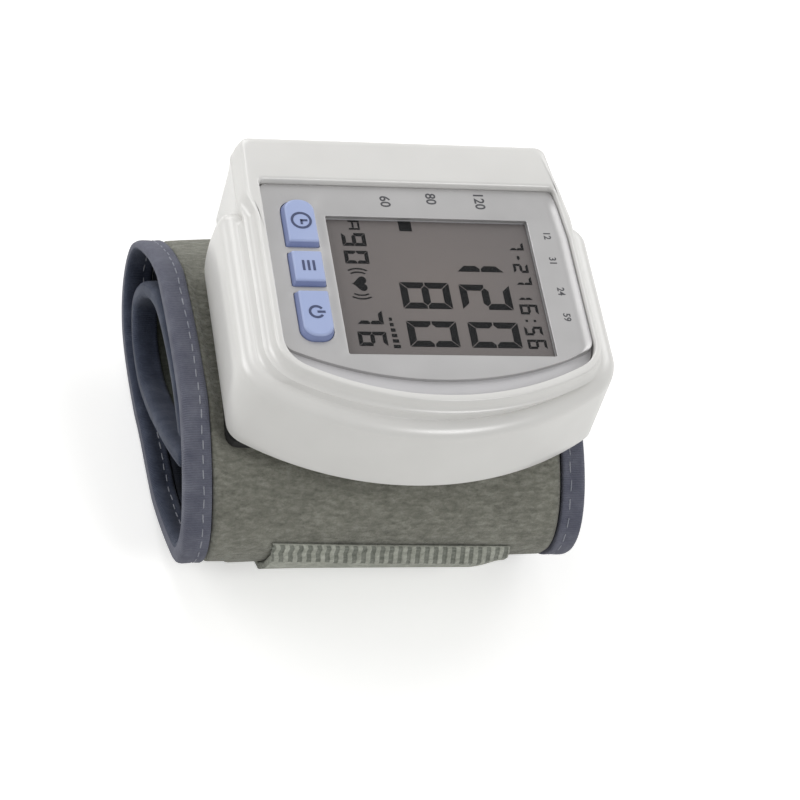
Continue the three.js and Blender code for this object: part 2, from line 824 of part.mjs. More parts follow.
function batteryCover() {
  const plate = box(-coverHalfWidth, coverHalfWidth, cellNearY, caseFarY, 0, baseThickness);
  const panel = box(-coverHalfWidth, coverHalfWidth, coverWallBottomY, caseFarY, 0, coverHeight);
  const grooves = [];
  for (let i = 0; i < gripCount; i += 1) {
    const middle = coverHeight / 2 + (i - (gripCount - 1) / 2) * gripPitch;
    grooves.push(box(-gripWidth / 2, gripWidth / 2, caseFarY - gripDepth, caseFarY + overrun,
      middle - gripHeight / 2, middle + gripHeight / 2));
  }
  return cut(join(plate, panel), ...grooves);
}

function cell(y, turned) {
  const shell = lathe([
    [0, 0], [cellRadius - cellEndRound, 0], [cellRadius, cellEndRound],
    [cellRadius, cellLength - cellEndRound], [cellRadius - cellEndRound, cellLength],
    [cellNubRadius, cellLength], [cellNubRadius, cellSpan], [0, cellSpan],
  ]);
  shell.translate(0, 0, -cellSpan / 2);
  if (turned) shell.rotateX(Math.PI);
  return place(alongX(shell), 0, y, cellAxisZ);
}

// A contact stands on the battery space's end wall: side is -1 or 1, and a spring presses a flat end
function cellContact(side, y, sprung) {
  const wallX = baseCutX - gap;
  const tipX = cellSpan / 2 + gap;
  const half = contactSize / 2;
  const reach = wallX - contactThickness - tipX;
  const post = sprung
    ? lathe([[0, -contactThickness / 2], [springBaseRadius, -contactThickness / 2], [springBaseRadius, 0],
      [springTipRadius, reach], [0, reach]], tubeSteps)
    : lathe([[0, -contactThickness / 2], [bumpRadius, -contactThickness / 2], [bumpRadius, reach / 2],
      [cellNubRadius, reach], [0, reach]], tubeSteps);
  const plateNear = side > 0 ? wallX - contactThickness : -wallX;
  const plateFar = plateNear + contactThickness;
  const turned = side > 0 ? post.rotateX(Math.PI) : post;
  const postX = side > 0 ? plateNear : plateFar;
  return join(
    box(plateNear, plateFar, y - half, y + half, inBase, inBase + contactHeight),
    place(alongX(turned), postX, y, cellAxisZ),
  );
}

// Cuff: rings of the flattened loop, seen along X, as points (Y, Z) from the spigot's axis
const bracketTop = -gap;
const cuffTop = bracketTop - bracketThickness - gap;
const cuffCenterZ = -cuffHeightRadius - gap;
const cuffBottom = cuffCenterZ - cuffHeightRadius + cuffFootFlat;

function loopPoint(angle, inset) {
  const y = cuffDepthRadius * Math.cos(angle);
  const z = cuffHeightRadius * Math.sin(angle);
  const normal = new THREE.Vector2(y / cuffDepthRadius ** 2, z / cuffHeightRadius ** 2).normalize();
  const low = Math.max(inset, 0);
  return new THREE.Vector2(
    cuffAheadY + y - normal.x * inset,
    THREE.MathUtils.clamp(cuffCenterZ + z - normal.y * inset, cuffBottom + low, cuffTop - inset),
  );
}

function loopCurve(inset, from = 0, to = 2 * Math.PI, steps = loopSteps) {
  const closed = to - from > 2 * Math.PI - Math.PI / loopSteps;
  const points = [];
  for (let i = 0; i < (closed ? steps : steps + 1); i += 1) {
    points.push(loopPoint(THREE.MathUtils.lerp(from, to, i / steps), inset));
  }
  return points;
}

function loopRing(outerInset, innerInset, x0, x1) {
  return cut(
    alongCuff(loopCurve(outerInset), x0, x1),
    alongCuff(loopCurve(innerInset), x0 - overrun, x1 + overrun),
  );
}

// A band between two insets over part of the loop
function loopBand(outerInset, innerInset, from, to, x0, x1, steps) {
  const outline = [
    ...loopCurve(outerInset, from, to, steps),
    ...loopCurve(innerInset, from, to, steps).reverse(),
  ];
  return alongCuff(outline, x0, x1);
}

const bladderInset = coverCloth + gap;
const liningInset = bladderInset + bladderThickness + gap;
const cuffThickness = liningInset + liningCloth;
const clothHalfLength = cuffHalfLength - bindingWidth - gap;
const bladderHalfLength = clothHalfLength - bladderMargin;
const degrees = THREE.MathUtils.degToRad;

// The binding tape folds round the cuff's end, so its outer end is rounded
function binding(side) {
  const outer = -bindingProud;
  const inner = cuffThickness + bindingProud;
  const endX = side * cuffHalfLength;
  const innerX = endX - side * bindingWidth;
  const bevelX = endX - side * bindingRound;
  const softX = endX - side * bindingRound * edgeShare;
  const solid = (inset, ring) => {
    const rings = ring.map(([x, share]) => loopCurve(inset(share))
      .map((point) => new THREE.Vector3(x, point.x, point.y)));
    return loftAlongX(side > 0 ? rings : rings.reverse());
  };
  const outside = solid((share) => outer + share * bindingRound,
    [[innerX, 0], [bevelX, 0], [softX, edgeShare], [endX, 1]]);
  const inside = solid((share) => inner - share * bindingRound,
    [[innerX - side * overrun, 0], [bevelX, 0], [softX, edgeShare], [endX, 1],
      [endX + side * overrun, 1]]);
  return cut(outside, inside);
}

const cuffCover = () => cut(
  loopRing(0, coverCloth, -clothHalfLength, clothHalfLength),
  place(rod(nozzleRadius + tubeWall + 2 * gap, cuffTop - bladderInset, cuffTop + overrun), 0, 0, 0),
);

const cuffLining = () => loopRing(liningInset, cuffThickness, -clothHalfLength, clothHalfLength);

function bladder() {
  const band = loopBand(bladderInset, bladderInset + bladderThickness,
    degrees(bladderStartAngle), degrees(bladderEndAngle), -bladderHalfLength, bladderHalfLength, loopSteps);
  const portTop = cuffTop - gap;
  const portBottom = cuffTop - bladderInset - bladderThickness / 2;
  const port = place(rod(nozzleRadius + gap + tubeWall, portBottom, portTop, tubeSteps), 0, 0, 0);
  const bore = place(rod(nozzleRadius + gap, cuffTop - cuffThickness - overrun, cuffTop + overrun,
    tubeSteps), 0, 0, 0);
  return cut(join(band, port), bore);
}

function closingStrap() {
  return loopBand(-gap - strapThickness, -gap, degrees(strapStartAngle), degrees(strapEndAngle),
    strapStartX, strapStartX + strapWidth, tubeSteps);
}

// The cuff's inner end: a band of even thickness along a curve through shares of the loop's inner radii
function innerFlap() {
  const innerDepth = cuffDepthRadius - cuffThickness;
  const innerHeight = cuffHeightRadius - cuffThickness;
  const route = new THREE.SplineCurve(flapRouteShares.map(([shareY, shareZ]) => new THREE.Vector2(
    cuffAheadY + shareY * innerDepth,
    cuffCenterZ + shareZ * innerHeight,
  )));
  const side = (offset) => route.getSpacedPoints(flapSteps).map((point, i) => {
    const tangent = route.getTangentAt(i / flapSteps);
    return new THREE.Vector2(point.x + tangent.y * offset, point.y - tangent.x * offset);
  });
  const outline = [...side(flapThickness / 2), ...side(-flapThickness / 2).reverse()];
  if (THREE.ShapeUtils.isClockWise(outline)) outline.reverse();
  const half = cuffHalfLength - flapInset;
  return alongCuff(outline, -half, half);
}

// The bracket lies on the loop, square with the case, and its round spigot stands up through the base
function cuffBracket() {
  const reachX = bracketHalfLength + bracketHalfWidth * Math.sin(cuffTurn) + overrun;
  const reachY = bracketHalfWidth + bracketHalfLength * Math.sin(cuffTurn) + overrun;
  const from = Math.acos((reachY - cuffAheadY) / cuffDepthRadius);
  const to = Math.acos((-reachY - cuffAheadY) / cuffDepthRadius);
  const plan = roundedBox(-bracketHalfLength, bracketHalfLength, -bracketHalfWidth, bracketHalfWidth,
    bracketCorner, bracketCorner);
  const plate = loopBand(-gap - bracketThickness, -gap, from, to, -reachX, reachX, roundSteps)
    .intersect(slab(plan, cuffCenterZ, overrun).rotate([0, 0, -THREE.MathUtils.radToDeg(cuffTurn)]));
  const spigot = place(rod(spigotRadius, bracketTop - bracketThickness / 2, spigotTop), 0, 0, 0);
  const groove = cut(
    place(rod(spigotRadius + overrun, baseThickness, inBase + ringHeight + gap), 0, 0, 0),
    place(rod(spigotRadius - spigotGroove, 0, spigotTop + overrun), 0, 0, 0),
  );
  const bore = place(rod(nozzleRadius + gap, bracketTop - bracketThickness - overrun, spigotTop + overrun,
    tubeSteps), 0, 0, 0);
  return cut(join(plate, spigot), groove, bore);
}

// A split ring in the spigot's groove, lying on the base
function lockRing() {
  const outer = spigotRadius + ringWidth;
  const half = ringOpening / 2;
  return cut(
    place(rod(outer, inBase, inBase + ringHeight), spigotX, spigotY, 0),
    place(rod(spigotRadius - spigotGroove + gap, 0, spigotTop), spigotX, spigotY, 0),
    box(spigotX, spigotX + outer + overrun, spigotY - half, spigotY + half, 0, spigotTop),
  );
}

// Finishes

const finish = (color, roughness, metalness = 0) => new THREE.MeshStandardMaterial({
  color, roughness, metalness,
});

const whitePlastic = finish(0xe6e5e2, 0.35);
const greyPlastic = finish(0xb8b8ba, 0.45);
const clearPlastic = finish(0xd8dcdc, 0.08);
const displayGlass = finish(0x77726f, 0.2);
const bluePlastic = finish(0xa8b5de, 0.4);
const blackPlastic = finish(0x151516, 0.5);
const boardGreen = finish(0x2f6b45, 0.5);
const greyMetal = finish(0xa9abad, 0.35, 0.9);
const darkRubber = finish(0x2a2b2d, 0.8);
const siliconeTube = finish(0xd0cfc9, 0.6);
const cellSleeve = finish(0x3a6ea5, 0.35);
const sageCloth = finish(0x66685f, 0.95);
const slateTape = finish(0x565a6b, 0.85);
const navyCloth = finish(0x2b3240, 0.95);
const bladderSkin = finish(0x8d8f90, 0.6);

const monitor = new THREE.Group();
const caseGroup = new THREE.Group();
const cuffGroup = new THREE.Group();
cuffGroup.position.set(spigotX, spigotY, 0);
cuffGroup.rotation.z = cuffTurn;
monitor.add(caseGroup, cuffGroup);

function add(group, name, solid, material) {
  const mesh = new THREE.Mesh(toGeometry(solid), material);
  mesh.name = name;
  group.add(mesh);
}

add(caseGroup, 'upper_case', upperCase(), whitePlastic);
add(caseGroup, 'lower_case', lowerCase(), whitePlastic);
add(caseGroup, 'battery_cover', batteryCover(), whitePlastic);
add(caseGroup, 'face_panel', facePanel(), greyPlastic);
add(caseGroup, 'display_lens', lensSolid(), clearPlastic);
add(caseGroup, 'lcd_glass', glassSolid(), displayGlass);
add(caseGroup, 'lcd_frame', frameSolid(), blackPlastic);
add(caseGroup, 'lcd_contact_strip', contactStrip(), darkRubber);
add(caseGroup, 'circuit_board', circuitBoard(), boardGreen);
for (const key of keys) {
  add(caseGroup, `${key.name}_button`, keyCap(key), bluePlastic);
  add(caseGroup, `${key.name}_switch`, keySwitch(key), darkRubber);
}
add(caseGroup, 'buzzer', buzzerSolid(), blackPlastic);
add(caseGroup, 'pressure_sensor', pressureSensor(), blackPlastic);
add(caseGroup, 'pump_motor', pumpMotor(), greyMetal);
add(caseGroup, 'pump_head', pumpHead(), blackPlastic);
add(caseGroup, 'pump_tube', place(alongY(airTube()), spigotX, headFarY + gap, nippleZ), siliconeTube);
add(caseGroup, 'air_manifold', airManifold(), blackPlastic);
add(caseGroup, 'valve_tube', place(alongX(airTube()), manifoldRightX + gap, spigotY, nippleZ), siliconeTube);
add(caseGroup, 'release_valve', releaseValve(), greyMetal);
screwPlaces.forEach(([x, y], i) => {
  add(caseGroup, `case_screw_${i + 1}`, caseScrew(x, y), greyMetal);
});
boardScrewPlaces.forEach(([x, y], i) => {
  add(caseGroup, `board_screw_${i + 1}`, boardScrew(x, y), greyMetal);
});
cellYs.forEach((y, i) => {
  const turned = i > 0;
  add(caseGroup, `battery_${i + 1}`, cell(y, turned), cellSleeve);
  add(caseGroup, `contact_left_${i + 1}`, cellContact(-1, y, !turned), greyMetal);
  add(caseGroup, `contact_right_${i + 1}`, cellContact(1, y, turned), greyMetal);
});
add(caseGroup, 'bracket_lock_ring', lockRing(), greyMetal);
add(cuffGroup, 'cuff_bracket', cuffBracket(), blackPlastic);
add(cuffGroup, 'cuff_cover', cuffCover(), sageCloth);
add(cuffGroup, 'air_bladder', bladder(), bladderSkin);
add(cuffGroup, 'cuff_lining', cuffLining(), navyCloth);
add(cuffGroup, 'left_binding', binding(-1), slateTape);
add(cuffGroup, 'right_binding', binding(1), slateTape);
add(cuffGroup, 'inner_flap', innerFlap(), navyCloth);
add(cuffGroup, 'closing_strap', closingStrap(), sageCloth);

monitor.updateMatrixWorld(true);
const bounds = new THREE.Box3().setFromObject(monitor, true);
const middle = bounds.getCenter(new THREE.Vector3());
monitor.position.set(-middle.x, -middle.y, -bounds.min.z);

export default monitor;
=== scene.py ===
# Wrist blood pressure monitor: the looks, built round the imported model.
# Lengths are millimetres in the case's own frame unless a name says otherwise: X along the cuff,
# Y away from the case's rounded front edge, Z up, with z 0 at the case's underside. A side is -1
# for the left half and 1 for the right one, and u is a distance outwards on that side.
from math import acos, asin, cos, pi, radians, sin

import bmesh
import bpy
import numpy as np
from mathutils import Matrix, Vector


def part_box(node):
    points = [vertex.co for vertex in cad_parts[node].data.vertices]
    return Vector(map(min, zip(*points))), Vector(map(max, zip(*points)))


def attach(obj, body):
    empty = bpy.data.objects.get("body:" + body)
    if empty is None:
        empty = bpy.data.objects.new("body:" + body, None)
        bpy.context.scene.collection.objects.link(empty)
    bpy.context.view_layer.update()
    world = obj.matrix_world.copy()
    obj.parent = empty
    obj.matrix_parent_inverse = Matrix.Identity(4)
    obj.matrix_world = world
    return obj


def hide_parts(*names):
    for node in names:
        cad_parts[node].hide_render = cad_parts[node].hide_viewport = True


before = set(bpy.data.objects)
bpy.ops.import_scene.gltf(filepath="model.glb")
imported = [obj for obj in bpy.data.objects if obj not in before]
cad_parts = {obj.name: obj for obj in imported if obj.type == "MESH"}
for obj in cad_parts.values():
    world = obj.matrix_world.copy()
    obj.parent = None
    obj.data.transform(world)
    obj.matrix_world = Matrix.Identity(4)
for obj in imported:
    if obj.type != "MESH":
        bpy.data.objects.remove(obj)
bpy.context.scene.view_settings.view_transform = "Standard"
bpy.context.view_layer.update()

MM = 0.001
SIDES = (-1, 1)
SKIRT_LEFT, SKIRT_RIGHT = -37.4, 39.3
CASE_FAR, CASE_TOP = 35.05, 22.9
case_low, case_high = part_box("upper_case")
ORIGIN = np.array([case_low.x / MM - SKIRT_LEFT, case_high.y / MM - CASE_FAR, case_low.z / MM])

# Heights
CEILING, FLOOR_TOP, RECESS_STOP = 18.2, 19.45, 21
PANEL_BOTTOM, LEDGE_TOP, PANEL_TOP = 19.6, 20.6, 21.4
GLASS_TOP = 20.35
FLANK_FOOT = 20.2
HOLLOW_TOP = 15.4

# Distances between neighbours, and the least radius of a corner that is moved inwards
FINE_GAP, GAP = 0.15, 0.3
LEAST_RADIUS = 0.5

# Sunk face. It is wider at its right than the CAD's, and closes again at its far right corner
FACE_LEFT, FACE_RIGHT, FACE_FRONT, FACE_FAR = -29.2, 32.87, -28.47, 25.2
FACE_RADIUS, FACE_CORNER, FACE_FAR_CORNER = 58, 7.4, 1.2
FACE_MIDDLE = (FACE_LEFT + FACE_RIGHT) / 2
FACE_WIDER = 1.15
FACE_CLOSED = {-1: 0.0, 1: 0.95}
FACE_STRAIGHT = (12, 8)

# Rim round the face. Its inner edge is rounded over more of the bar than of the sides
RIM_WIDTH, RIM_ROUND, EDGE_ROUND = 1.8, 0.7, 0.4
RIM_WIDER = 0.6
FAR_EDGE = 2.2
RIM_FOOT, RIM_FOOT_FRONT = {-1: 3.7, 1: 3.3}, 2.9

# Bar behind the face: the places along its walls, and how these turn in at its upper edge
BAR_U, BAR_CORNER = 33.3, 2.2
FLARE = {-1: 33.6, 1: 34.8}
FLARE_Y, NECK_Y, SHOULDER_Y = 21.4, 17, 15.2
BAR_STOPS = (27.5, 26, FLARE_Y)
NECK_TURN, SHOULDER_RUN = 0.6, 2
BAR_ROUND, BAR_FAR_TURN = 1.2, 1.9
BAR_RIGHT_TURN = (1.35, 0.42, 0.45)
BAR_LEFT_ROUND = 0.9
LEAN, LEAN_FOOT, LEAN_HEIGHT, LEAN_BEND = 1.25, 18, 4, 1.3
BROW, BROW_FOOT, BROW_TOP = 1.6, 15.3, 20

# Skirt: its rounded top, its far corners, and its near curve and corners at its foot and its top
SKIRT_TOP, SKIRT_ROUND, SKIRT_DROP = 18.5, 3.3, 2.6
SKIRT_FAR = {-1: 20.8, 1: 19.8}
SKIRT_FAR_CORNER = {-1: 3.0, 1: 4.6}
SKIRT_WIDER, SKIRT_RIGHT_LEAN = 0.6, 1.1
SKIRT_FRONT, SKIRT_FRONT_LEAN = -34.93, 0.63
SKIRT_RADIUS, SKIRT_NEAR_CORNER = (64, 58.9), (5.4, 10.9)
SKIRT_CROWN = (0.2, 0.5)
FOOT_ROUND = 0.4
WALL = 2

# Battery cover's opening in the far wall, as two corners of a box
HATCH = (-27.3, 32.05, -1), (27.3, 36, 15)

# Panel on the sunk face, and the lip that it raises along its right edge
PANEL_FRONT, PANEL_RADIUS, PANEL_CORNER = -24.1, 68, 3
PANEL_EDGE, LEDGE_EDGE, FLOOR_EDGE = 0.12, 0.15, 0.05
LIP_WIDTH, LIP_BEND, LIP_BENT = 2.4, 0.12, 1.2
LIP_INSETS = (0.5, 0.8, 1.1, 1.4, 1.7, 2.0, 2.3, 2.6)

# Display window, and the keys with the near and far ends and the radii of their corners there
WINDOW, WINDOW_CORNER = (-16.4, 26.04, -17.89, 17.02), 0.4
KEY_CENTER, KEY_HALF, KEY_TOP = -21.85, 3.05, 22.6
KEY_DRAFT, KEY_ROUND, KEY_SLIT, KEY_UPRIGHT = 0.55, 0.35, 0.12, 0.3
FLANGE_OUT, FLANGE_THICK = 1.6, 1
KEYS = {
    "time": (9.3, 20.2, 0.35, 2.7),
    "memory": (-0.75, 6.85, 0.35, 0.35),
    "power": (-14.4, -3.2, 2.7, 0.35),
}

# Cuff: a flattened loop, turned a little round the spigot that carries the case
CUFF_X, CUFF_Y, CUFF_TURN = -4.3, -2, radians(2.3)
CUFF_END = {-1: 41.7, 1: 42.7}
CLOTH_END = {-1: 35.9, 1: 37.2}
LOOP_DEPTH, LOOP_HEIGHT, LOOP_AHEAD, LOOP_Z = 39.4, 22.6, 7.04, -22.9
LOOP_TOP, LOOP_FOOT = -2.2, -44.5
CLOTH, LINING_FACE, CUFF_THICK = 1.2, 2.8, 4.0
TAPE_SHARE = {-1: 1.0, 1: 5.1 / 5.5}
SEAM_AWAY = 3.7
FLAP_HALF, FLAP_THICK = 41.0, 3.2


# ---- plane outlines

def arc(x, y, radius, start, end, count):
    turns = np.linspace(start, end, count)
    return np.stack([x + radius * np.cos(turns), y + radius * np.sin(turns)], axis=1)


def quarter(count):
    """Even turns over a quarter circle."""
    return np.linspace(0, pi / 2, count)


def resample(line, count):
    line = np.asarray(line, float)
    steps = np.hypot(*np.diff(line, axis=0).T)
    along = np.concatenate([[0], np.cumsum(steps)])
    where = np.linspace(0, along[-1], count)
    return np.stack([np.interp(where, along, line[:, k]) for k in (0, 1)], axis=1)


def raised(loop, z):
    """A plane outline at a height."""
    return np.column_stack([loop, np.full(len(loop), z)])


def between(ends, share):
    return ends[0] + share * (ends[1] - ends[0])


# The points of half a ring round the case, from the middle of its far edge to the middle of its front
FAR_POINTS, CORNER_POINTS, WALL_POINTS, SHOULDER_POINTS = 14, 9, 15, 17
SIDE_POINTS, NEAR_POINTS, FRONT_POINTS = 15, 15, 32
BEND_POINTS = 24


def half_ring(far, bar_u, bar_corner, wall, shoulder, side_u, middle_u, front, radius, corner):
    turn = asin((side_u - corner - middle_u) / (radius - corner))
    centre_y = front + radius
    corner_y = centre_y - (radius - corner) * cos(turn)
    down = -pi / 2
    parts = [
        resample([(0, far), (bar_u - bar_corner, far)], FAR_POINTS),
        arc(bar_u - bar_corner, far - bar_corner, bar_corner, pi / 2, 0, CORNER_POINTS)[1:],
        resample([(bar_u, far - bar_corner), *wall], WALL_POINTS)[1:],
        resample(shoulder, SHOULDER_POINTS)[1:],
        resample([shoulder[-1], (side_u, corner_y)], SIDE_POINTS)[1:],
        arc(side_u - corner, corner_y, corner, 0, down + turn, NEAR_POINTS)[1:],
        arc(middle_u, centre_y, radius, down + turn, down, FRONT_POINTS)[1:],
    ]
    return np.concatenate(parts)


def whole_ring(halves, z):
    left = halves[-1] * (-1, 1)
    right = halves[1][::-1]
    return raised(np.concatenate([left, right[1:-1]]), z)


def rounding_at(z, deep):
    """How far a rounded upper edge has turned in at a height: 0 at its foot, 1 at the case's top."""
    return 1 - (1 - (max(z - CASE_TOP + deep, 0) / deep) ** 2) ** 0.5


def share_of(value, start, end):
    """A smooth share, 0 at the start and 1 at the end."""
    t = np.clip((value - start) / (end - start), 0, 1)
    return t * t * (3 - 2 * t)


def side_inset(side, z):
    """The inset of the bar's side wall: beyond the face, beside it, and at the flare. The left wall
    leans in."""
    if side > 0:
        return [rounding_at(z, BAR_ROUND) * turn for turn in BAR_RIGHT_TURN]
    lean = LEAN * min(max((z - LEAN_FOOT) / LEAN_HEIGHT, 0), 1) ** LEAN_BEND
    return [lean + BAR_LEFT_ROUND * rounding_at(z, BAR_LEFT_ROUND)] * 3


def bar_far(z):
    """The bar's far wall, with a low brow over the battery cover."""
    brow = BROW * share_of(z, BROW_FOOT, BROW_TOP)
    return CASE_FAR + brow - BAR_FAR_TURN * rounding_at(z, BAR_ROUND)


def side_of(side, left, right):
    """A side's distance outwards, from its place along X at the left or the right."""
    return -left if side < 0 else right


def face_sides(edge):
    """The wall and the shoulder of a ring whose sides are straight."""
    return [(edge, FACE_STRAIGHT[0])], [(edge, y) for y in FACE_STRAIGHT]


def face_ring(grow, z):
    """Round the sunk face, grown outwards."""
    halves = {}
    for side in SIDES:
        edge = side_of(side, FACE_LEFT - grow, FACE_RIGHT + FACE_WIDER + grow)
        halves[side] = half_ring(
            FACE_FAR + grow * FAR_EDGE, edge - FACE_CLOSED[side], FACE_FAR_CORNER, *face_sides(edge),
            edge, side * FACE_MIDDLE, FACE_FRONT - grow, FACE_RADIUS + grow, FACE_CORNER + grow)
    return whole_ring(halves, z)


def wall_at(side, side_u, inset, y):
    """Where the bar's wall is between its flare and its neck."""
    share = min(max((y - NECK_Y) / (FLARE_Y - NECK_Y), 0), 1)
    return side_u + share * (FLARE[side] - inset - side_u)


def body_ring(share, z):
    """Round the case's upright body: share 0 at the rim's outer edge, 1 at its flank's foot."""
    grow = {side: between((RIM_WIDTH, RIM_FOOT[side]), share) for side in SIDES}
    front = between((RIM_WIDTH, RIM_FOOT_FRONT), share)
    left, right = FACE_LEFT - grow[-1], FACE_RIGHT + RIM_WIDER * (1 - share) + grow[1]
    turn_y = NECK_Y + NECK_TURN
    halves = {}
    for side in SIDES:
        edge = side_of(side, left, right)
        far_inset, beside, inset = side_inset(side, z)
        insets = (far_inset + beside * 2) / 3, beside, inset
        slant = (FLARE[side] - BAR_U) / (CASE_FAR - BAR_CORNER - FLARE_Y)
        wall = [(FLARE[side] - slant * (y - FLARE_Y) - inward, y)
                for y, inward in zip(BAR_STOPS, insets)]
        wall.append((wall_at(side, edge, inset, turn_y), turn_y))
        shoulder = [wall[-1], (edge, NECK_Y), (edge, SHOULDER_Y - SHOULDER_RUN)]
        halves[side] = half_ring(
            bar_far(z), BAR_U - far_inset, BAR_CORNER, wall, shoulder, edge, side * (left + right) / 2,
            FACE_FRONT - front, FACE_RADIUS + front, FACE_CORNER + front)
    return whole_ring(halves, z)


def skirt_ring(share, inset, z, bar_in=0.0, crown=0.0):
    """Round the skirt: share 0 at its foot and 1 at its top. The bar's wall closes it behind."""
    right = SKIRT_RIGHT + SKIRT_WIDER - SKIRT_RIGHT_LEAN * (1 - share)
    front = SKIRT_FRONT + SKIRT_FRONT_LEAN * (1 - share) + inset
    radius = between(SKIRT_RADIUS, share) - inset
    corner = max(between(SKIRT_NEAR_CORNER, share) - inset, LEAST_RADIUS)
    halves = {}
    for side in SIDES:
        edge = side_of(side, SKIRT_LEFT - crown, right) - inset
        far = SKIRT_FAR[side] - inset
        bend = max(SKIRT_FAR_CORNER[side] - inset, LEAST_RADIUS)
        foot_u = side_of(side, FACE_LEFT, FACE_RIGHT) + RIM_FOOT[side] - GAP
        wall_u = wall_at(side, foot_u, 0, far) - bar_in
        # The far corner starts at the bar's wall, or a straight edge leads from the wall to it
        start, lead = pi / 2, [(wall_u, far)]
        if edge - bend < wall_u:
            start, lead = acos(min((wall_u - edge + bend) / bend, 1)), []
        shoulder = [*lead, *arc(edge - bend, far - bend, bend, start, 0, BEND_POINTS)]
        wall = [(FLARE[side] - bar_in, FLARE_Y), tuple(shoulder[0])]
        halves[side] = half_ring(bar_far(z) - bar_in, BAR_U - bar_in, BAR_CORNER, wall, shoulder, edge,
                                 0, front, radius, corner)
    return whole_ring(halves, z)


# ---- meshes

def to_world(points):
    return (np.asarray(points, float) + ORIGIN) * MM


def from_cuff(points):
    """Points (along the cuff, y, z) from the spigot's axis, turned into the case's frame."""
    points = np.asarray(points, float)
    x, y, z = points[..., 0], points[..., 1], points[..., 2]
    return np.stack([
        CUFF_X + x * cos(CUFF_TURN) - y * sin(CUFF_TURN),
        CUFF_Y + x * sin(CUFF_TURN) + y * cos(CUFF_TURN),
        z,
    ], axis=-1)


def cuff_ways(ways):
    """Directions on the cuff, turned into the case's frame."""
    return from_cuff(ways) - from_cuff(np.zeros_like(ways))


def add_object(name, points, faces, materials, body="monitor", slot=None, smooth=True, angle=None,
               face_material=None, weave=None):
    mesh = bpy.data.meshes.new(name)
    corners = [tuple(point) for point in to_world(points)]
    mesh.from_pydata(corners, [], [tuple(int(i) for i in face) for face in faces])
    for material in materials:
        mesh.materials.append(material)
    if weave is not None:
        layer = mesh.uv_layers.new(name="weave")
        layer.data.foreach_set("uv", np.asarray(weave, np.float32).ravel())
    if face_material is not None:
        mesh.polygons.foreach_set("material_index", np.asarray(face_material, np.int32))
    mesh.polygons.foreach_set("use_smooth", [smooth] * len(mesh.polygons))
    mesh.update()
    if angle is not None:
        mesh.set_sharp_from_angle(angle=radians(angle))
    made = bpy.data.objects.new(name, mesh)
    bpy.context.scene.collection.objects.link(made)
    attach(made, body)
    return made


def skin(name, rings, materials, closed=False, flip=False, woven=False, **options):
    """A skin over rings of equal count. closed joins the last ring to the first, and otherwise both
    ends are capped. woven lays a map in millimetres over it, for its threads."""
    rings = np.asarray(rings, float)
    count, around = rings.shape[:2]
    lengths = np.linalg.norm(np.roll(rings, -1, axis=1) - rings, axis=2)
    along = np.concatenate([np.zeros((count, 1)), np.cumsum(lengths, axis=1)], axis=1).mean(axis=0)
    nexts = np.roll(rings, -1, axis=0) if closed else rings[1:]
    heights = np.linalg.norm(nexts - rings[:len(nexts)], axis=2).mean(axis=1)
    up = np.concatenate([[0], np.cumsum(heights)])
    way = -1 if flip else 1
    faces, weave = [], []
    for r in range(len(nexts)):
        low, high = r * around, (r + 1) % count * around
        for i in range(around):
            j = (i + 1) % around
            spots = [(along[i], up[r]), (along[i + 1], up[r]), (along[i + 1], up[r + 1]),
                     (along[i], up[r + 1])]
            faces.append((low + i, low + j, high + j, high + i)[::way])
            weave.extend(spots[::way])
    if not closed:
        bottom, top = range(around), range((count - 1) * around, count * around)
        faces.extend([bottom[::-way], top[::way]])
        weave.extend([(0, 0)] * (2 * around))
    return add_object(name, rings.reshape(-1, 3), faces, materials, weave=weave if woven else None,
                      **options)


def offset_loop(loop, distance):
    """A closed plane outline, moved outwards. The outline runs anticlockwise."""
    before, after = np.roll(loop, 1, axis=0), np.roll(loop, -1, axis=0)
    ins, outs = loop - before, after - loop
    ins /= np.linalg.norm(ins, axis=1)[:, None]
    outs /= np.linalg.norm(outs, axis=1)[:, None]
    normal = np.stack([ins[:, 1] + outs[:, 1], -ins[:, 0] - outs[:, 0]], axis=1)
    length = np.linalg.norm(normal, axis=1)
    normal = normal / length[:, None]
    reach = distance / np.maximum(length / 2, 0.5)
    return loop + normal * reach[:, None]


def plate(name, outer, holes, bottom, top, edge, materials, border=None, **options):
    """A flat plate with holes, its upper edges rounded. border gives its outer rings instead."""
    levels = [(bottom, 0)]
    levels += [(top - edge + edge * sin(turn), edge * (1 - cos(turn))) for turn in quarter(4)]
    work = bmesh.new()
    for loop, sign in [(outer, -1), *((hole, 1) for hole in holes)]:
        rings = [raised(offset_loop(loop, sign * inset), z) for z, inset in levels]
        if border and sign < 0:
            rings = border
        made = [[work.verts.new(point) for point in ring] for ring in rings]
        for low, high in zip(made, made[1:]):
            for i in range(len(low)):
                j = (i + 1) % len(low)
                quad = [low[i], low[j], high[j], high[i]]
                work.faces.new(quad if sign < 0 else quad[::-1])
    open_edges = [e for e in work.edges if e.is_boundary]
    for height, up in ((bottom, -1), (top, 1)):
        level = [e for e in open_edges if all(abs(v.co.z - height) < 1e-5 for v in e.verts)]
        bmesh.ops.triangle_fill(work, use_beauty=True, use_dissolve=False, edges=level,
                                normal=(0, 0, up))
    bmesh.ops.recalc_face_normals(work, faces=work.faces)
    points = [tuple(v.co) for v in work.verts]
    work.verts.index_update()
    faces = [[v.index for v in f.verts] for f in work.faces]
    work.free()
    return add_object(name, points, faces, materials, angle=30, **options)


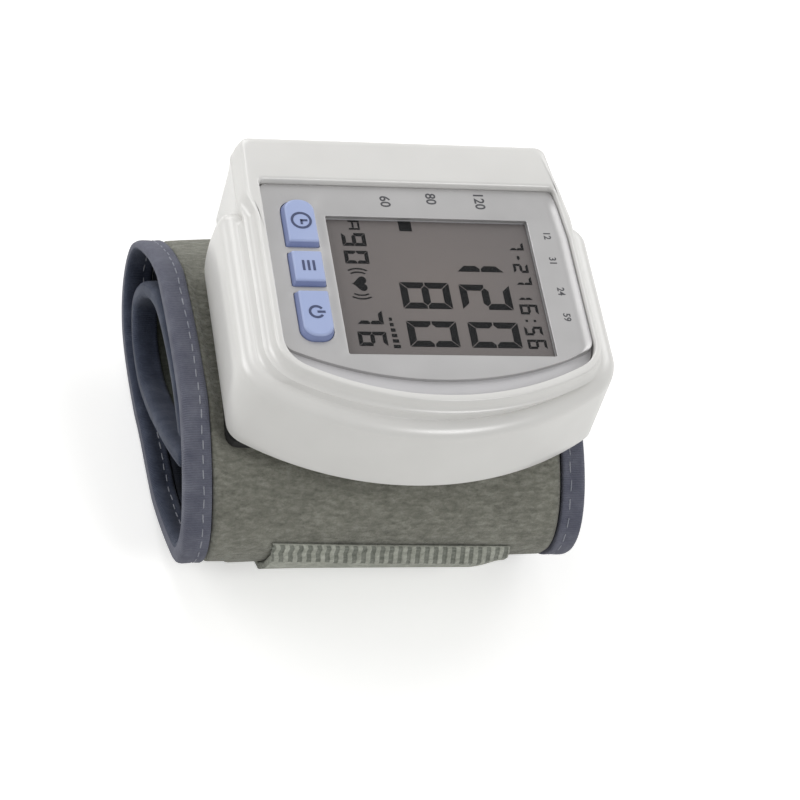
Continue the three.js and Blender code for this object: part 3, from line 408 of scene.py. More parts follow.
def rounded_box(left, right, near, far, near_round, far_round, steps=8):
    corners = [
        (left + near_round, near + near_round, near_round, pi),
        (right - near_round, near + near_round, near_round, -pi / 2),
        (right - far_round, far - far_round, far_round, 0),
        (left + far_round, far - far_round, far_round, pi / 2),
    ]
    return np.concatenate([arc(x, y, radius, start, start + pi / 2, steps)
                           for x, y, radius, start in corners])


# ---- materials

def linear(code):
    """An sRGB hex colour as linear light."""
    values = [int(code[i:i + 2], 16) / 255 for i in (1, 3, 5)]
    return [*(v / 12.92 if v <= 0.04045 else ((v + 0.055) / 1.055) ** 2.4 for v in values), 1]


def add(tree, kind, links=None, **settings):
    """A node with its settings, and its inputs' values or links."""
    made = tree.nodes.new(kind)
    for key, value in settings.items():
        setattr(made, key, value)
    for key, value in (links or {}).items():
        if isinstance(value, bpy.types.NodeSocket):
            tree.links.new(value, made.inputs[key])
        else:
            made.inputs[key].default_value = value
    return made


def new_material(name, roughness, **sockets):
    """A material with its tree, its shader, and the place of each point on the object."""
    material = bpy.data.materials.new(name)
    material.use_nodes = True
    tree = material.node_tree
    shader = tree.nodes["Principled BSDF"]
    shader.inputs["Roughness"].default_value = roughness
    for key, value in sockets.items():
        shader.inputs[key.replace("_", " ")].default_value = value
    return material, tree, shader, add(tree, "ShaderNodeTexCoord").outputs["Object"]


def mottled(tree, place, size_mm, colours, detail=4, rough=0.6, distortion=0.0):
    """A noise whose patches are about size_mm across, turned into a run of colours."""
    noise = add(tree, "ShaderNodeTexNoise", {
        "Vector": place, "Scale": 1 / (size_mm * MM), "Detail": detail, "Roughness": rough,
        "Distortion": distortion,
    })
    ramp = add(tree, "ShaderNodeValToRGB", {"Fac": noise.outputs["Fac"]})
    low, high = 0.32, 0.68
    ramp.color_ramp.elements[0].position = low
    ramp.color_ramp.elements[1].position = high
    ramp.color_ramp.elements[0].color = linear(colours[0])
    ramp.color_ramp.elements[1].color = linear(colours[-1])
    for k, code in enumerate(colours[1:-1], 1):
        spot = ramp.color_ramp.elements.new(low + (high - low) * k / (len(colours) - 1))
        spot.color = linear(code)
    return noise, ramp


def dress(tree, shader, colour, height, depth_mm, strength):
    """Gives a shader its colour, and a relief up to depth_mm deep."""
    bump = add(tree, "ShaderNodeBump", {
        "Height": height, "Distance": depth_mm * MM, "Strength": strength})
    tree.links.new(colour, shader.inputs["Base Color"])
    tree.links.new(bump.outputs["Normal"], shader.inputs["Normal"])


def moulded(name, colours, roughness, grain_mm, depth_mm, **sockets):
    """A moulded plastic: an even colour that varies slightly, and the fine grain of the mould."""
    material, tree, shader, place = new_material(name, roughness, **sockets)
    _, ramp = mottled(tree, place, 14, colours, detail=2)
    grain = add(tree, "ShaderNodeTexNoise", {
        "Vector": place, "Scale": 1 / (grain_mm * MM), "Detail": 2})
    spread = add(tree, "ShaderNodeMapRange", {
        "Value": grain.outputs["Fac"], "To Min": roughness - 0.04, "To Max": roughness + 0.04})
    tree.links.new(spread.outputs["Result"], shader.inputs["Roughness"])
    dress(tree, shader, ramp.outputs["Color"], grain.outputs["Fac"], depth_mm, 0.5)
    return material


# Injection moulded ABS, spark eroded and lightly polished: satin, with strong soft highlights.
# Its grain is about 0.1 mm and is drawn at 0.4 mm so that it shows.
white_abs = moulded("white_abs", ("#D7D6D3", "#DBDAD7"), 0.3, 0.4, 0.008, Specular_IOR_Level=1.0)
# Silver lacquer over moulded grey: its metal flakes carry the light over the panel, bright to dull
panel_print = moulded("silver_lacquer", ("#ABAAAA", "#B2B1B1"), 0.3, 0.3, 0.004, Metallic=0.45)
# The step under the panel is the same grey without lacquer: paler and duller
ledge_print = moulded("grey_moulded_ledge", ("#BEBDBF", "#C4C3C5"), 0.42, 0.3, 0.008)
# Coloured ABS of the keys: satin tops, and sides in a deeper, duller copy: painted shade on the walls
key_abs = moulded("light_blue_abs", ("#9FADD4", "#A7B4D8"), 0.38, 0.3, 0.008)
key_side_painted_shade = moulded("blue_abs_side_painted_shade", ("#7A86B0", "#828EB7"), 0.42, 0.3, 0.008)
# Pad printed ink: thin, flat and nearly matt
key_ink = moulded("dark_blue_print", ("#343E60", "#3A4468"), 0.5, 0.3, 0.004)
panel_ink = moulded("dark_grey_print", ("#3A3A3E", "#444448"), 0.5, 0.3, 0.004)
# Glass filled nylon of the bracket: near black, dull, with a coarse grain
black_nylon = moulded("black_nylon", ("#131314", "#1A1A1B"), 0.5, 0.4, 0.015)
# Black ABS of the pieces inside: a little smoother
black_abs = moulded("black_abs", ("#17171A", "#1D1D20"), 0.45, 0.4, 0.01)
# Solder mask on a laminate board: an even green film with a gloss
board_green = moulded("green_solder_mask", ("#2A6440", "#32704A"), 0.35, 0.5, 0.01)
# Extruded silicone of the tubes: milky white and soft looking
silicone = moulded("silicone_rubber", ("#CFCDC6", "#D6D4CE"), 0.55, 0.5, 0.01)
# Pressed rubber with carbon in it: dead matt
carbon_rubber = moulded("carbon_rubber", ("#252628", "#2C2D2F"), 0.75, 0.5, 0.02)
# Welded PVC film of the bladder: a dull grey skin
bladder_pvc = moulded("grey_pvc_film", ("#88898A", "#929394"), 0.5, 0.8, 0.03)
# Shrunk PVC sleeve of the cells: smooth and glossy
cell_sleeve = moulded("blue_shrink_sleeve", ("#356A9F", "#3C72A8"), 0.3, 0.6, 0.01)
# Dark segments of the display lie behind glass: black, without a shine of their own
lcd_black = moulded("lcd_dark_segment", ("#08080A", "#0B0B0D"), 0.6, 0.3, 0.002,
                    Specular_IOR_Level=0.1)


def nickel_plate():
    """Nickel plated steel: bright, with fine drawing marks along it."""
    material, tree, shader, place = new_material("nickel_plated_steel", 0.32, Metallic=1.0)
    drawn = add(tree, "ShaderNodeMapping", {"Vector": place, "Scale": (0.2, 1, 1)})
    noise, ramp = mottled(tree, drawn.outputs["Vector"], 0.5, ("#A9ABAD", "#C4C6C8"), detail=3)
    dress(tree, shader, ramp.outputs["Color"], noise.outputs["Fac"], 0.01, 0.4)
    return material


def clear_acrylic():
    """Cast acrylic window: clear, polished, with a faint grey tint."""
    material, tree, shader, place = new_material("clear_acrylic", 0.12, Alpha=0.04, IOR=1.49,
                                                 Specular_IOR_Level=0.08)
    noise, ramp = mottled(tree, place, 20, ("#5A5C5C", "#636565"), detail=1)
    dress(tree, shader, ramp.outputs["Color"], noise.outputs["Fac"], 0.01, 0.2)
    return material


def display_grey():
    """Twisted nematic display over a grey reflector: flat, lighter and slightly warmer towards its
    middle, so that its edges carry a painted shade from the window's rim. Its cells are too fine
    to show and are drawn as a grain of 0.25 mm."""
    material, tree, shader, place = new_material("lcd_grey_reflector", 0.45, Specular_IOR_Level=0.25)
    middle, reach = to_world([(5, 0, GLASS_TOP)])[0], 26 * MM
    moved = add(tree, "ShaderNodeMapping", {
        "Vector": place, "Location": tuple(-c / reach for c in middle), "Scale": (1 / reach,) * 3})
    # A painted shade: the display darkens from its middle out towards the window's rim
    painted_edge_shade = add(tree, "ShaderNodeTexGradient", {"Vector": moved.outputs["Vector"]},
               gradient_type="SPHERICAL")
    ramp = add(tree, "ShaderNodeValToRGB", {"Fac": painted_edge_shade.outputs["Fac"]})
    ramp.color_ramp.elements[0].color = linear("#6F6A69")
    ramp.color_ramp.elements[1].color = linear("#7A7370")
    cells = add(tree, "ShaderNodeTexNoise", {"Vector": place, "Scale": 1 / (0.25 * MM), "Detail": 1})
    dress(tree, shader, ramp.outputs["Color"], cells.outputs["Fac"], 0.004, 0.3)
    return material


def brushed_cloth(name, colours, sheen):
    """Brushed nylon loop cloth: short loops lie over in patches about 1 mm across, so it looks
    mottled and soft, with lighter loop ends. The loops are about 0.3 mm and are drawn at 0.5 mm."""
    material, tree, shader, place = new_material(
        name, 0.95, Sheen_Weight=sheen, Sheen_Roughness=0.5, Specular_IOR_Level=0.15)
    drift = add(tree, "ShaderNodeTexNoise", {"Vector": place, "Scale": 1 / (9 * MM), "Detail": 2})
    lying = add(tree, "ShaderNodeMapping", {
        "Vector": place, "Scale": (0.45, 1, 1), "Rotation": (0, 0, 0.12)})
    patches, ramp = mottled(tree, lying.outputs["Vector"], 0.95, colours, detail=5, rough=0.6,
                            distortion=0.25)
    loops = add(tree, "ShaderNodeTexNoise", {
        "Vector": place, "Scale": 1 / (0.5 * MM), "Detail": 4, "Roughness": 0.7})
    shade = add(tree, "ShaderNodeMapRange", {
        "Value": drift.outputs["Fac"], "From Min": 0.3, "From Max": 0.7, "To Min": 0.93,
        "To Max": 1.07})
    fleck = add(tree, "ShaderNodeMapRange", {
        "Value": loops.outputs["Fac"], "From Min": 0.3, "From Max": 0.7, "To Min": 0.86,
        "To Max": 1.14})
    both = add(tree, "ShaderNodeMath", {0: shade.outputs["Result"], 1: fleck.outputs["Result"]},
               operation="MULTIPLY")
    tinted = add(tree, "ShaderNodeVectorMath", {0: ramp.outputs["Color"], 1: both.outputs["Value"]},
                 operation="MULTIPLY")
    pile = add(tree, "ShaderNodeMath", {0: patches.outputs["Fac"], 1: loops.outputs["Fac"]},
               operation="ADD")
    dress(tree, shader, tinted.outputs["Vector"], pile.outputs["Value"], 0.5, 0.8)
    return material


def woven_tape(name, colours, sheen, rib_mm=0.45, rib_depth=0.12):
    """Woven polyester tape: fine ribs across its length, matt with a little sheen."""
    material, tree, shader, place = new_material(
        name, 0.8, Sheen_Weight=sheen, Sheen_Roughness=0.4, Specular_IOR_Level=0.2)
    cloth = add(tree, "ShaderNodeUVMap", uv_map="weave").outputs["UV"]
    _, ramp = mottled(tree, place, 5, colours, detail=6, rough=0.65)
    warp = add(tree, "ShaderNodeTexWave", {
        "Vector": cloth, "Scale": 2 * pi / (20 * rib_mm), "Distortion": 0.6, "Detail": 1},
        wave_type="BANDS", bands_direction="X")
    fuzz = add(tree, "ShaderNodeTexNoise", {"Vector": place, "Scale": 1 / (0.35 * MM), "Detail": 3})
    height = add(tree, "ShaderNodeMath", {0: warp.outputs["Fac"], 1: fuzz.outputs["Fac"]},
                 operation="ADD")
    tone = add(tree, "ShaderNodeMapRange", {
        "Value": height.outputs["Value"], "From Max": 2.0, "To Min": 0.86, "To Max": 1.12})
    tinted = add(tree, "ShaderNodeVectorMath", {0: ramp.outputs["Color"], 1: tone.outputs["Result"]},
                 operation="MULTIPLY")
    dress(tree, shader, tinted.outputs["Vector"], height.outputs["Value"], rib_depth, 0.7)
    return material


plated_steel = nickel_plate()
acrylic = clear_acrylic()
lcd_grey = display_grey()
sage_loop = brushed_cloth("sage_brushed_loop_cloth", ("#707067", "#838379", "#96968C"), 0.2)
# The same sage cloth much darker, for the flap deep inside the loop: painted shade
sage_loop_painted_shade = brushed_cloth("sage_loop_cloth_painted_shade", ("#33362F", "#3F423B", "#4B4E47"), 0.1)
strap_weave = brushed_cloth("sage_ribbed_webbing", ("#989A8F", "#ABADA2", "#C0C2B7"), 0.2)
# The same webbing, darker, for the sunk strips between its ribs: painted shade
strap_gap_painted_shade = brushed_cloth("sage_webbing_between_ribs_painted_shade", ("#74776E", "#84877E", "#96988F"), 0.1)
slate_tape = woven_tape("slate_woven_tape", ("#565866", "#616370", "#6D6F7B"), 0.1)
navy_tape = woven_tape("navy_woven_tape", ("#2E3444", "#3A4050", "#484E5E"), 0.1)
# Plain navy nylon of the lining, darker than its own navy: the shade inside the loop is painted in
navy_nylon_and_painted_shade = woven_tape("navy_plain_nylon_and_painted_shade", ("#0E1118", "#151922", "#1F2430"), 0.05, 0.6, 0.08)
thread = woven_tape("grey_polyester_thread", ("#8B8E9A", "#9A9CA5", "#ABADB5"), 0.2, 0.3, 0.05)
sage_thread = woven_tape("sage_polyester_thread", ("#868A80", "#959990", "#A2A69C"), 0.2, 0.3, 0.05)


# ---- camera, light and floor

def make_camera():
    azimuth, elevation, roll = radians(-24.65), radians(50.73), radians(20.02)
    focal_pixels, image_pixels, sensor_mm = 2728.1, 800, 36
    distance, shift_x, shift_y = 558.8, -1.31, 10.48
    back = Vector((sin(azimuth) * cos(elevation), -cos(azimuth) * cos(elevation), sin(elevation)))
    level = Vector((cos(azimuth), sin(azimuth), 0))
    upright = level.cross(-back)
    right = cos(roll) * level + sin(roll) * upright
    up = -sin(roll) * level + cos(roll) * upright
    spot = back * distance - right * shift_x - up * shift_y
    data = bpy.data.cameras.new("camera")
    data.sensor_width = sensor_mm
    data.lens = sensor_mm * focal_pixels / image_pixels
    data.clip_end = 20
    made = bpy.data.objects.new("camera", data)
    axes = Matrix((right, up, back)).transposed().to_4x4()
    made.matrix_world = Matrix.Translation(to_world([tuple(spot)])[0].tolist()) @ axes
    bpy.context.scene.collection.objects.link(made)
    bpy.context.scene.camera = made


def seen_rays(tree, *kinds):
    """1 for rays of these kinds, and 0 for the rays that light the object."""
    path = add(tree, "ShaderNodeLightPath")
    total = path.outputs[f"Is {kinds[0]} Ray"]
    for kind in kinds[1:]:
        total = add(tree, "ShaderNodeMath", {0: total, 1: path.outputs[f"Is {kind} Ray"]},
                    operation="ADD", use_clamp=True).outputs["Value"]
    return total


def make_world():
    """Even studio light, white where the camera looks past the object."""
    world = bpy.data.worlds.new("studio")
    bpy.context.scene.world = world
    world.use_nodes = True
    tree = world.node_tree
    tree.nodes.clear()
    plain, white = (add(tree, "ShaderNodeBackground", {"Color": linear("#FFFFFF"), "Strength": level})
                    for level in (0.44, 1.0))
    mixed = add(tree, "ShaderNodeMixShader", {
        0: seen_rays(tree, "Camera", "Glossy", "Transmission"), 1: plain.outputs["Background"],
        2: white.outputs["Background"]})
    add(tree, "ShaderNodeOutputWorld", {"Surface": mixed.outputs["Shader"]})


def make_floor():
    """White paper that keeps the object's shadow. Where it is looked at, it glows up to white."""
    material = bpy.data.materials.new("white_paper")
    material.use_nodes = True
    tree = material.node_tree
    tree.nodes.clear()
    paper = add(tree, "ShaderNodeBsdfDiffuse", {"Color": linear("#F4F4F2")})
    glow = add(tree, "ShaderNodeEmission", {"Color": linear("#FFFFFF"), "Strength": 0.42})
    both = add(tree, "ShaderNodeAddShader", {0: paper.outputs["BSDF"], 1: glow.outputs["Emission"]})
    mixed = add(tree, "ShaderNodeMixShader", {
        0: seen_rays(tree, "Camera", "Glossy"), 1: paper.outputs["BSDF"], 2: both.outputs["Shader"]})
    add(tree, "ShaderNodeOutputMaterial", {"Surface": mixed.outputs["Shader"]})
    half = 1.6
    corners = [(-half, -half, 0), (half, -half, 0), (half, half, 0), (-half, half, 0)]
    mesh = bpy.data.meshes.new("floor")
    mesh.from_pydata(corners, [], [(0, 1, 2, 3)])
    mesh.materials.append(material)
    made = bpy.data.objects.new("floor", mesh)
    made.location.z = -0.0002
    bpy.context.scene.collection.objects.link(made)


def make_lamp(name, direction, size, share):
    """A round softbox. It adds that share of full white to a face that looks straight at it."""
    distance = 1.15
    data = bpy.data.lights.new(name, "AREA")
    data.shape = "DISK"
    data.size = size
    data.energy = share * (pi * distance) ** 2
    made = bpy.data.objects.new(name, data)
    made.location = Vector(direction).normalized() * distance
    made.rotation_euler = (-Vector(direction)).to_track_quat("-Z", "Y").to_euler()
    bpy.context.scene.collection.objects.link(made)


make_camera()
make_world()
make_floor()
make_lamp("back_softbox", (-0.15, 0.87, 0.47), 0.6, 0.16)
make_lamp("left_softbox", (-0.82, 0.36, 0.44), 0.65, 0.285)
make_lamp("near_softbox", (0.34, -0.56, 0.76), 0.42, 0.24)
make_lamp("right_softbox", (0.64, 0.575, 0.5), 0.6, 0.16)
make_lamp("top_softbox", (-0.2, 0.58, 0.79), 0.4, 0.1)


# ---- the case

def case_rings():
    """The shell's rings: up the sunk face's wall, over the rim, down outside, and back up inside."""
    rim_low = CASE_TOP - RIM_ROUND
    rings = [face_ring(0, z) for z in (CEILING, FLOOR_TOP, RECESS_STOP, rim_low)]
    for turn in quarter(6)[1:]:
        rings.append(face_ring(EDGE_ROUND * (1 - cos(turn)), CASE_TOP - RIM_ROUND * (1 - sin(turn))))
    # The rim's top is flat between its two rounded edges
    flat = RIM_WIDTH - RIM_ROUND
    step = RIM_FOOT[-1] - RIM_WIDTH
    for turn in quarter(6):
        rings.append(body_ring((flat + RIM_ROUND * sin(turn) - RIM_WIDTH) / step,
                               CASE_TOP - RIM_ROUND * (1 - cos(turn))))
    # Its flank is a curve that runs out to its foot
    knee_share, knee_z = 0.14, FLANK_FOOT + 0.25
    for t in np.linspace(0, 1, 9)[1:]:
        share = 2 * t * (1 - t) * knee_share + t * t
        z = (1 - t) ** 2 * rim_low + 2 * t * (1 - t) * knee_z + t * t * FLANK_FOOT
        rings.append(body_ring(share, z))
    # A hollow slope leads down to the skirt, and the skirt's top is rounded
    slope_power = 1.9
    foot, crest = rings[-1], skirt_ring(1, SKIRT_ROUND, SKIRT_TOP)
    for share in (0.1, 0.22, 0.36, 0.5, 0.66, 0.82):
        z = SKIRT_TOP + (FLANK_FOOT - SKIRT_TOP) * (1 - share) ** slope_power
        rings.append(raised((foot + (crest - foot) * share)[:, :2], z))
    for turn in quarter(12):
        z = SKIRT_TOP - SKIRT_DROP * (1 - cos(turn))
        rings.append(skirt_ring(1, SKIRT_ROUND * (1 - sin(turn)), z))
    # Its wall draws in towards its foot, and bulges a little at the left
    wall_ends = FOOT_ROUND, SKIRT_TOP - SKIRT_DROP
    for share in (0.93, 0.8, 0.67, 0.53, 0.4, 0.27, 0.13):
        crown = SKIRT_CROWN[0] + SKIRT_CROWN[1] * sin(pi * share)
        rings.append(skirt_ring(share, 0, between(wall_ends, share), crown=crown))
    for turn in quarter(4):
        inset = FOOT_ROUND * (1 - cos(turn))
        rings.append(skirt_ring(0, inset, FOOT_ROUND * (1 - sin(turn)), inset))
    rings.append(skirt_ring(0, WALL, 0, WALL))
    rings.append(skirt_ring(1, WALL, HOLLOW_TOP, WALL))
    return rings


def cut_box(target, low, high):
    """Cuts a box out of a mesh."""
    (x0, y0, z0), (x1, y1, z1) = to_world([low, high])
    mesh = bpy.data.meshes.new("cutter")
    corners = [(x, y, z) for z in (z0, z1) for x, y in ((x0, y0), (x1, y0), (x1, y1), (x0, y1))]
    faces = [(3, 2, 1, 0), (4, 5, 6, 7), *((k, (k + 1) % 4, (k + 1) % 4 + 4, k + 4) for k in range(4))]
    mesh.from_pydata(corners, [], faces)
    cutter = bpy.data.objects.new("cutter", mesh)
    bpy.context.scene.collection.objects.link(cutter)
    change = target.modifiers.new("cut", "BOOLEAN")
    change.operation = "DIFFERENCE"
    change.solver = "EXACT"
    change.object = cutter
    bpy.context.view_layer.update()
    result = bpy.data.meshes.new_from_object(
        target.evaluated_get(bpy.context.evaluated_depsgraph_get()))
    target.modifiers.clear()
    target.data = result
    bpy.data.objects.remove(cutter)
    result.set_sharp_from_angle(angle=radians(38))


def key_outline(key, grow):
    """Round a key, grown outwards, but hardly at its right and far sides, which stand upright."""
    near, far, near_round, far_round = KEYS[key]
    little = min(grow, 0) + max(grow, 0) * KEY_UPRIGHT
    return rounded_box(KEY_CENTER - KEY_HALF - grow, KEY_CENTER + KEY_HALF + little, near - grow,
                       far + little, near_round, far_round)


case_shell = skin("case_shell", case_rings(), [white_abs], closed=True, slot="white_plastic", angle=60)
cut_box(case_shell, *HATCH)
openings = [rounded_box(*WINDOW, WINDOW_CORNER, WINDOW_CORNER, 4),
            *(key_outline(key, KEY_DRAFT + KEY_SLIT) for key in KEYS)]
# The floor of the sunk face stands a hair clear of its wall
plate("case_floor", face_ring(-0.02, 0)[:, :2], openings, CEILING, FLOOR_TOP, FLOOR_EDGE, [white_abs],
      slot="white_plastic")
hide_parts("upper_case")
plate("panel_ledge", face_ring(-FINE_GAP, 0)[:, :2], openings, PANEL_BOTTOM, LEDGE_TOP, LEDGE_EDGE,
      [ledge_print], slot="grey_plastic")


def panel_ring(inset, z):
    """Round the panel. Insets beyond its edge's rounding count in full at its right side only."""
    little = FINE_GAP + min(inset, PANEL_EDGE) + max(inset - PANEL_EDGE, 0) * 0.1
    halves = {}
    for side in SIDES:
        edge = side_of(side, FACE_LEFT + little, FACE_RIGHT + FACE_WIDER - FINE_GAP - inset)
        halves[side] = half_ring(
            FACE_FAR - little, edge - FACE_CLOSED[side], max(FACE_FAR_CORNER - inset, 0.2),
            *face_sides(edge), edge, side * FACE_MIDDLE, PANEL_FRONT + little, PANEL_RADIUS - little,
            max(PANEL_CORNER - inset * 0.5, 0.4))
    return whole_ring(halves, z)


def panel_border():
    """The panel's outer rings. Its lip bends up along the right edge, and is straight further out."""
    rings = [panel_ring(0, LEDGE_TOP)]
    for turn in quarter(4):
        rings.append(panel_ring(PANEL_EDGE * (1 - cos(turn)), PANEL_TOP - PANEL_EDGE * (1 - sin(turn))))
    rings += [panel_ring(inset, PANEL_TOP) for inset in LIP_INSETS]
    for ring, inset in zip(rings[1:], (0, 0.02, 0.06, PANEL_EDGE, *LIP_INSETS)):
        along = max(LIP_WIDTH - inset, 0)
        rise = LIP_BEND * along ** 2 if along < LIP_BENT else 0.173 + 0.288 * (along - LIP_BENT)
        ring[:, 2] += rise * share_of(ring[:, 0], 27.5, 30.5) * share_of(ring[:, 1], 24.6, 20)
    return rings


border = panel_border()
face_plate = plate("face_plate", border[0][:, :2], openings, LEDGE_TOP, PANEL_TOP, PANEL_EDGE,
                   [panel_print], border=border, slot="grey_plastic")
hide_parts("face_panel")


def key_cap(key):
    """A key: a flange under the case's ceiling, a shaft, sides that lean in, and a rounded top."""
    near, far, _, _ = KEYS[key]
    flange_top, lean_foot, lean_top = CEILING - GAP, PANEL_TOP - 0.1, KEY_TOP - KEY_ROUND
    shaft = key_outline(key, 0)
    flange = shaft + np.sign(shaft - (KEY_CENTER, (near + far) / 2)) * (FLANGE_OUT, 0)
    sides = [(KEY_DRAFT, flange_top + 0.01), (KEY_DRAFT, lean_foot)]
    sides += [(KEY_DRAFT * (1 - share) ** 0.8, between((lean_foot, lean_top), share))
              for share in (0.25, 0.5, 0.75, 1)]
    top = [(-KEY_ROUND * (1 - cos(turn)), KEY_TOP - KEY_ROUND * (1 - sin(turn)))
           for turn in quarter(5)[1:]]
    top.append((-0.34, KEY_TOP + 0.02))
    rings = [raised(flange, flange_top - FLANGE_THICK), raised(flange, flange_top)]
    rings += [raised(key_outline(key, grow), z) for grow, z in sides + top]
    # The flange and the sides take the darker copy, painted shade; the top and the end caps the keys'
    # blue
    side_faces = (len(sides) + 1) * len(shaft)
    kinds = np.ones((len(rings) - 1) * len(shaft) + 2, int)
    kinds[:side_faces] = 0
    cap = skin(f"{key}_key_cap", rings, [key_side_painted_shade, key_abs], body=f"{key}_key", slot="blue_plastic",
               face_material=kinds, angle=40)
    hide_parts(f"{key}_button")


for key in KEYS:
    key_cap(key)


# ---- figures of the display, as thin solids

def solid_plates(name, plates, bottom, top, materials, **options):
    """Plane outlines with any number of corners, each drawn up into a thin closed solid."""
    points, faces = [], []
    for plate_points in plates:
        loop = np.asarray(plate_points, float)
        area = np.sum(loop[:, 0] * np.roll(loop[:, 1], -1) - np.roll(loop[:, 0], -1) * loop[:, 1])
        if area < 0:
            loop = loop[::-1]
        start, count = len(points), len(loop)
        points += [(x, y, bottom) for x, y in loop] + [(x, y, top) for x, y in loop]
        faces.append([start + i for i in reversed(range(count))])
        faces.append([start + count + i for i in range(count)])
        for i in range(count):
            j = (i + 1) % count
            faces.append([start + i, start + j, start + count + j, start + count + i])
    add_object(name, points, faces, materials, smooth=False, slot="black_plastic", **options)


SEGMENTS = {
    "0": "abcdef", "1": "bc", "2": "abged", "3": "abgcd", "4": "fgbc", "5": "afgcd", "6": "afgedc",
    "7": "abc", "8": "abcdefg", "9": "abcdfg", "-": "g",
}
# Each figure, its foot and head along X, its left and right along Y, and its stroke
FIGURES = [
    ("1", 9.3, 19.2, 7.6, 4.1, 1.5), ("2", 9.0, 19.5, 0.75, -5.6, 1.5),
    ("0", 9.2, 19.6, -8.8, -15.2, 1.5), ("8", -3.3, 6.9, 1.05, -5.6, 1.5),
    ("0", -3.4, 6.8, -8.75, -15.15, 1.5), ("7", -13.4, -8.0, -6.2, -9.7, 0.85),
    ("6", -13.7, -7.9, -11.6, -15.1, 0.85), ("9", -13.45, -8.5, 13.5, 10.15, 0.8),
    ("0", -13.55, -8.6, 8.9, 5.6, 0.8), ("7", 21.4, 24.5, 12.1, 10.0, 0.55),
    ("-", 21.3, 24.5, 8.9, 7.1, 0.55), ("2", 21.4, 24.5, 6.4, 4.1, 0.55),
    ("7", 21.3, 24.6, 3.1, 1.0, 0.55), ("1", 21.0, 24.0, -1.0, -2.9, 0.55),
    ("6", 20.85, 24.6, -4.1, -6.6, 0.55), ("5", 20.8, 24.5, -9.7, -11.9, 0.55),
    ("6", 20.85, 24.8, -13.0, -15.3, 0.55),
]


def figure(symbol, foot, head, left, right, stroke):
    """Seven-segment bars of one figure. The display reads turned a quarter, so that a figure is
    upright along X."""
    tall, wide = head - foot, abs(right - left)
    half, slit = stroke / 2, stroke * 0.09
    middle = tall / 2
    top = [(slit, tall), (wide - slit, tall), (wide - stroke - slit, tall - stroke),
           (stroke + slit, tall - stroke)]
    side = [(wide, tall - slit), (wide, middle + slit), (wide - half, middle + slit),
            (wide - stroke, middle + half + slit), (wide - stroke, tall - stroke - slit)]
    level = [(half + slit, middle), (stroke + slit, middle + half),
             (wide - stroke - slit, middle + half), (wide - half - slit, middle),
             (wide - stroke - slit, middle - half), (stroke + slit, middle - half)]
    lines = {
        "a": top, "d": [(u, tall - v) for u, v in top], "g": level,
        "b": side, "c": [(u, tall - v) for u, v in side],
        "f": [(wide - u, v) for u, v in side], "e": [(wide - u, tall - v) for u, v in side],
    }
    return [[(foot + v, left - u) for u, v in lines[name]] for name in SEGMENTS[symbol]]


def bar_shape(x0, x1, y0, y1):
    return [(x0, y0), (x1, y0), (x1, y1), (x0, y1)]


def lcd_shapes():
    shapes = [bars for row in FIGURES for bars in figure(*row)]
    # The colon, and a mark beside the scale of the panel
    shapes += [bar_shape(x - 0.25, x + 0.25, -8.0, -8.5) for x in (21.7, 23.4)]
    shapes.append([(-1.1, 16.9), (1.55, 16.9), (1.6, 14.35), (-1.05, 14.35)])
    # A heart between two pairs of waves
    heart = []
    for turn in np.linspace(0, 2 * pi, 41)[:-1]:
        across = 16 * sin(turn) ** 3
        up = 13 * cos(turn) - 5 * cos(2 * turn) - 2 * cos(3 * turn) - cos(4 * turn)
        heart.append((-11.2 + up * 0.105, 0.45 - across * 0.115))
    shapes.append(heart)
    for side in SIDES:
        for radius in (3.1, 4.0):
            outer = arc(0, 0, radius, -0.55, 0.55, 12)
            inner = arc(0, 0, radius - 0.32, -0.5, 0.5, 12)[::-1]
            shapes.append([(-11.4 + v, 0.45 + side * u) for u, v in np.concatenate([outer, inner])])
    # A memory card mark and a level scale
    shapes += [bar_shape(-11.6, -9.3, 16.8, 16.4), bar_shape(-11.6, -9.3, 14.8, 14.4),
               bar_shape(-9.7, -9.3, 16.3, 14.9), bar_shape(-10.9, -10.5, 16.3, 14.9)]
    for k in range(6):
        y = -8.0 - k * 1.35
        shapes.append(bar_shape(-6.8, -6.2 + 0.16 * k, y, y - 0.8))
    return shapes


solid_plates("lcd_figures", lcd_shapes(), GLASS_TOP + 0.005, GLASS_TOP + 0.05, [lcd_black])


def printed(words, x, y, size):
    """Generic printed numbers, turned a quarter as the display reads."""
    name, thickness = f"printed_{words}", 0.03
    curve = bpy.data.curves.new(name, "FONT")
    curve.body = words
    curve.size = size
    curve.align_x = "CENTER"
    curve.align_y = "CENTER"
    curve.resolution_u = 3
    curve.offset = size * 0.018
    curve.extrude = thickness / 2
    holder = bpy.data.objects.new(name, curve)
    bpy.context.scene.collection.objects.link(holder)
    bpy.context.view_layer.update()
    flat = bpy.data.meshes.new_from_object(
        holder.evaluated_get(bpy.context.evaluated_depsgraph_get()))
    bpy.data.objects.remove(holder)
    corners = np.array([tuple(v.co) for v in flat.vertices])
    faces = [tuple(p.vertices) for p in flat.polygons]
    turned = np.column_stack([x + corners[:, 1], y - corners[:, 0],
                              PANEL_TOP + thickness / 2 + corners[:, 2]])
    add_object(name, turned, faces, [panel_ink], smooth=False, slot="black_plastic")


for words, x, y, size in (
        ("120", 16.7, 22.0, 3.0), ("80", 6.4, 22.2, 3.0), ("60", -3.4, 21.2, 3.0),
        ("12", 29.7, 13.2, 2.1), ("31", 29.7, 6.5, 2.1), ("24", 29.9, -1.4, 2.1),
        ("59", 29.9, -8.0, 2.1)):
    printed(words, x, y, size)


# ---- pictograms on the keys

